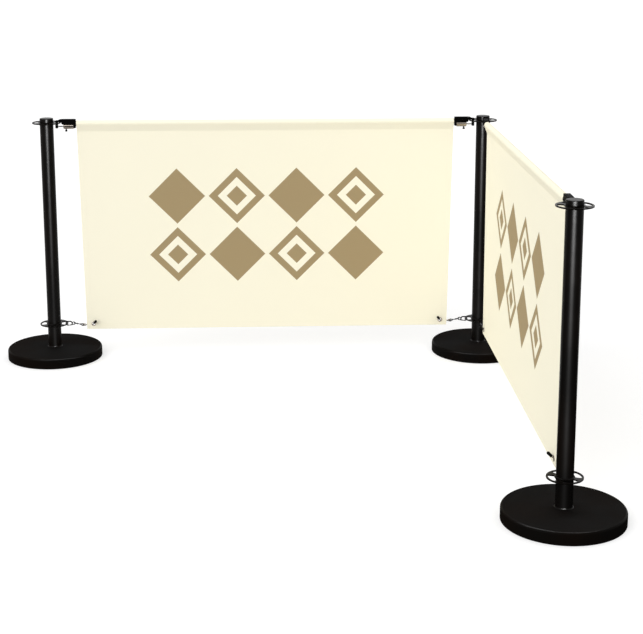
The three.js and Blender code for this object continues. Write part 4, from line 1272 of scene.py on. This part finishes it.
def stitchMesh(panel):
    # rows along the foot hem and the seam, and down the side hems, on both faces
    side, size, hem = cameraSide[panel], stitchSizes, clothSizes["hem"]
    face = clothSizes["layer"] + clothSizes["thickness"] / 2
    inset, allowanceFoot = size["inset"], seamHeight - clothSizes["allowance"]
    low, high = bannerLow.z + hem + size["clear"], allowanceFoot - size["clear"]
    columns, levels, rows = size["columns"], size["levels"], []
    for height in (bannerLow.z + hem - inset, seamHeight - inset, allowanceFoot + inset):
        edge = sideEdge(height) + size["ends"]
        rows.append([(edge + (spacing - 2 * edge) * k / columns, height) for k in range(columns + 1)])
    heights = [low + (high - low) * k / levels for k in range(levels + 1)]
    column = [(sideEdge(z) + hem - inset, z) for z in heights]
    rows += [column, [(spacing - reach, z) for reach, z in column]]
    paths = [[(reach, side * (y + drift(reach, z)), z) for reach, z in row]
             for y in (-face, face) for row in rows]
    values = {"Pitch": size["pitch"], "Length": size["length"], "Thread": size["thread"]}
    return grown(lineMesh(paths), "stitches", "thread", values)


for panel in panelTurn:
    mesh, length = clothMesh(panel)
    body, place = f"{panel}_panel", panelMatrix(panel)
    cloth = addPiece(f"{panel}_cloth", mesh, place, body, "cloth", f"{panel}_banner")
    sewing = addPiece(f"{panel}_stitches", stitchMesh(panel), place, body, "thread")
    print(panel, "banner sewn, cut length", round(length, 4))


# Floor, light and camera
floorLook = {"span": 60.0, "colour": (0.6, 0.6, 0.6), "lift": 0.50}


def floorMaterial():
    # a pale matte floor, lifted to white where the camera or a gloss sees it
    material = bpy.data.materials.new("pale floor")
    material.use_nodes = True
    material.node_tree.nodes.clear()
    add = partial(addNode, material.node_tree)
    matte = add("ShaderNodeBsdfDiffuse", {"Color": floorLook["colour"]})
    rays = add("ShaderNodeLightPath").outputs
    seen = maths("MAXIMUM", rays["Is Camera Ray"], rays["Is Glossy Ray"])
    lift = add("ShaderNodeEmission", {"Strength": times(seen, floorLook["lift"])})
    add("ShaderNodeOutputMaterial", {"Surface": add("ShaderNodeAddShader", {0: matte, 1: lift})})
    return material


floorData = bpy.data.meshes.new("floor")
corners = ((-1, -1), (1, -1), (1, 1), (-1, 1))
floorData.from_pydata([(x * floorLook["span"], y * floorLook["span"], -gap) for x, y in corners],
                      [], [(0, 1, 2, 3)])
floorData.materials.append(floorMaterial())
floor = shown("floor", floorData)

# the sky is white where it is seen, straight or in gloss and glass, and gives less light than that
skyLook = {"given": 0.66, "seen": 1.0}
world = bpy.data.worlds.new("studio")
bpy.context.scene.world = world
world.use_nodes = True
world.node_tree.nodes.clear()
addSky = partial(addNode, world.node_tree)
rays = addSky("ShaderNodeLightPath").outputs
straight = maths("MAXIMUM", rays["Is Glossy Ray"], rays["Is Transmission Ray"])
seen = maths("MAXIMUM", rays["Is Camera Ray"], straight)
level = ramp(seen, 0.0, 1.0, skyLook["given"], skyLook["seen"])
backdrop = addSky("ShaderNodeBackground", {"Color": (1, 1, 1), "Strength": level})
addSky("ShaderNodeOutputWorld", {"Surface": backdrop})

cameraSpot = {"place": (-0.862, -5.538, 1.703), "yaw": 2.553, "pitch": 12.222, "sensor": 36.0,
              "width": 643, "focal": 1473.7, "rise": -90.1}  # the last three in pixels
sunLamps = {
    "key": {"from": (-0.325, -0.345, 0.26), "strength": 1.72, "spread": 60},
    "fill": {"from": (0.35, 0.25, 0.35), "strength": 0.5, "spread": 90},
}
highlightLamps = {
    "strip": {"size": (2.2, 0.3), "power": 1700.0,
              "place": (-0.862, -5.45, 0.77), "toward": (-0.862, 0, 0.77)},
    "overhead": {"size": (5.0, 0.4), "power": 1300.0,
                 "place": (-0.862, -0.5, 4.0), "toward": (-0.862, -0.5, 0)},
}
cardSize = {"width": 9.0, "front": -0.9, "back": -6.74, "floor": 0.5 * mm, "top": 4.4}


def newLamp(name, kind, power, aim):
    data = bpy.data.lights.new(name, kind)
    data.energy = power
    lamp = shown(name, data)
    lamp.rotation_euler = aim.to_track_quat("-Z", "Y").to_euler()
    return lamp


def highlightLamp(name, look):
    # a light seen only in the sheen of the coat: down each tube, and along the rim of each base
    place = Vector(look["place"])
    lamp = newLamp(name, "AREA", look["power"], Vector(look["toward"]) - place)
    lamp.data.shape = "RECTANGLE"
    lamp.data.size, lamp.data.size_y = look["size"]
    lamp.location = place
    lamp.visible_diffuse = lamp.visible_camera = False
    receivers = bpy.data.collections.new(f"lit by {name}")
    for piece in lampLit[name]:
        receivers.objects.link(piece)
    lamp.light_linking.receiver_collection = receivers


def darkCard():
    # a black card that runs over the floor and up behind the camera, seen only in reflections
    data = bpy.data.meshes.new("card")
    half, middle, size = cardSize["width"] / 2, cameraSpot["place"][0], cardSize
    line = [(size["front"], size["floor"]), (size["back"], size["floor"]), (size["back"], size["top"])]
    spots = [(middle + side * half, y, z) for y, z in line for side in (-1, 1)]
    data.from_pydata(spots, [], [(0, 1, 3, 2), (2, 3, 5, 4)])
    black, shader = newMaterial("black card", 1.0, 0.0)
    feed(shader["Base Color"], (0, 0, 0))
    data.materials.append(black)
    card = shown("card", data)
    card.visible_camera = card.visible_diffuse = card.visible_shadow = card.visible_transmission = False


for name, look in sunLamps.items():
    newLamp(name, "SUN", look["strength"], -Vector(look["from"])).data.angle = radians(look["spread"])
for name, look in highlightLamps.items():
    highlightLamp(name, look)
darkCard()
cameraData = bpy.data.cameras.new("camera")
cameraData.sensor_width = cameraSpot["sensor"]
cameraData.lens = cameraSpot["focal"] * cameraSpot["sensor"] / cameraSpot["width"]
cameraData.shift_y = cameraSpot["rise"] / cameraSpot["width"]
camera = shown("camera", cameraData)
camera.location = cameraSpot["place"]
camera.rotation_euler = (radians(90 - cameraSpot["pitch"]), 0, radians(-cameraSpot["yaw"]))
bpy.context.scene.camera = camera
bpy.context.scene.view_settings.view_transform = "Standard"
print("floor, lights and camera placed")
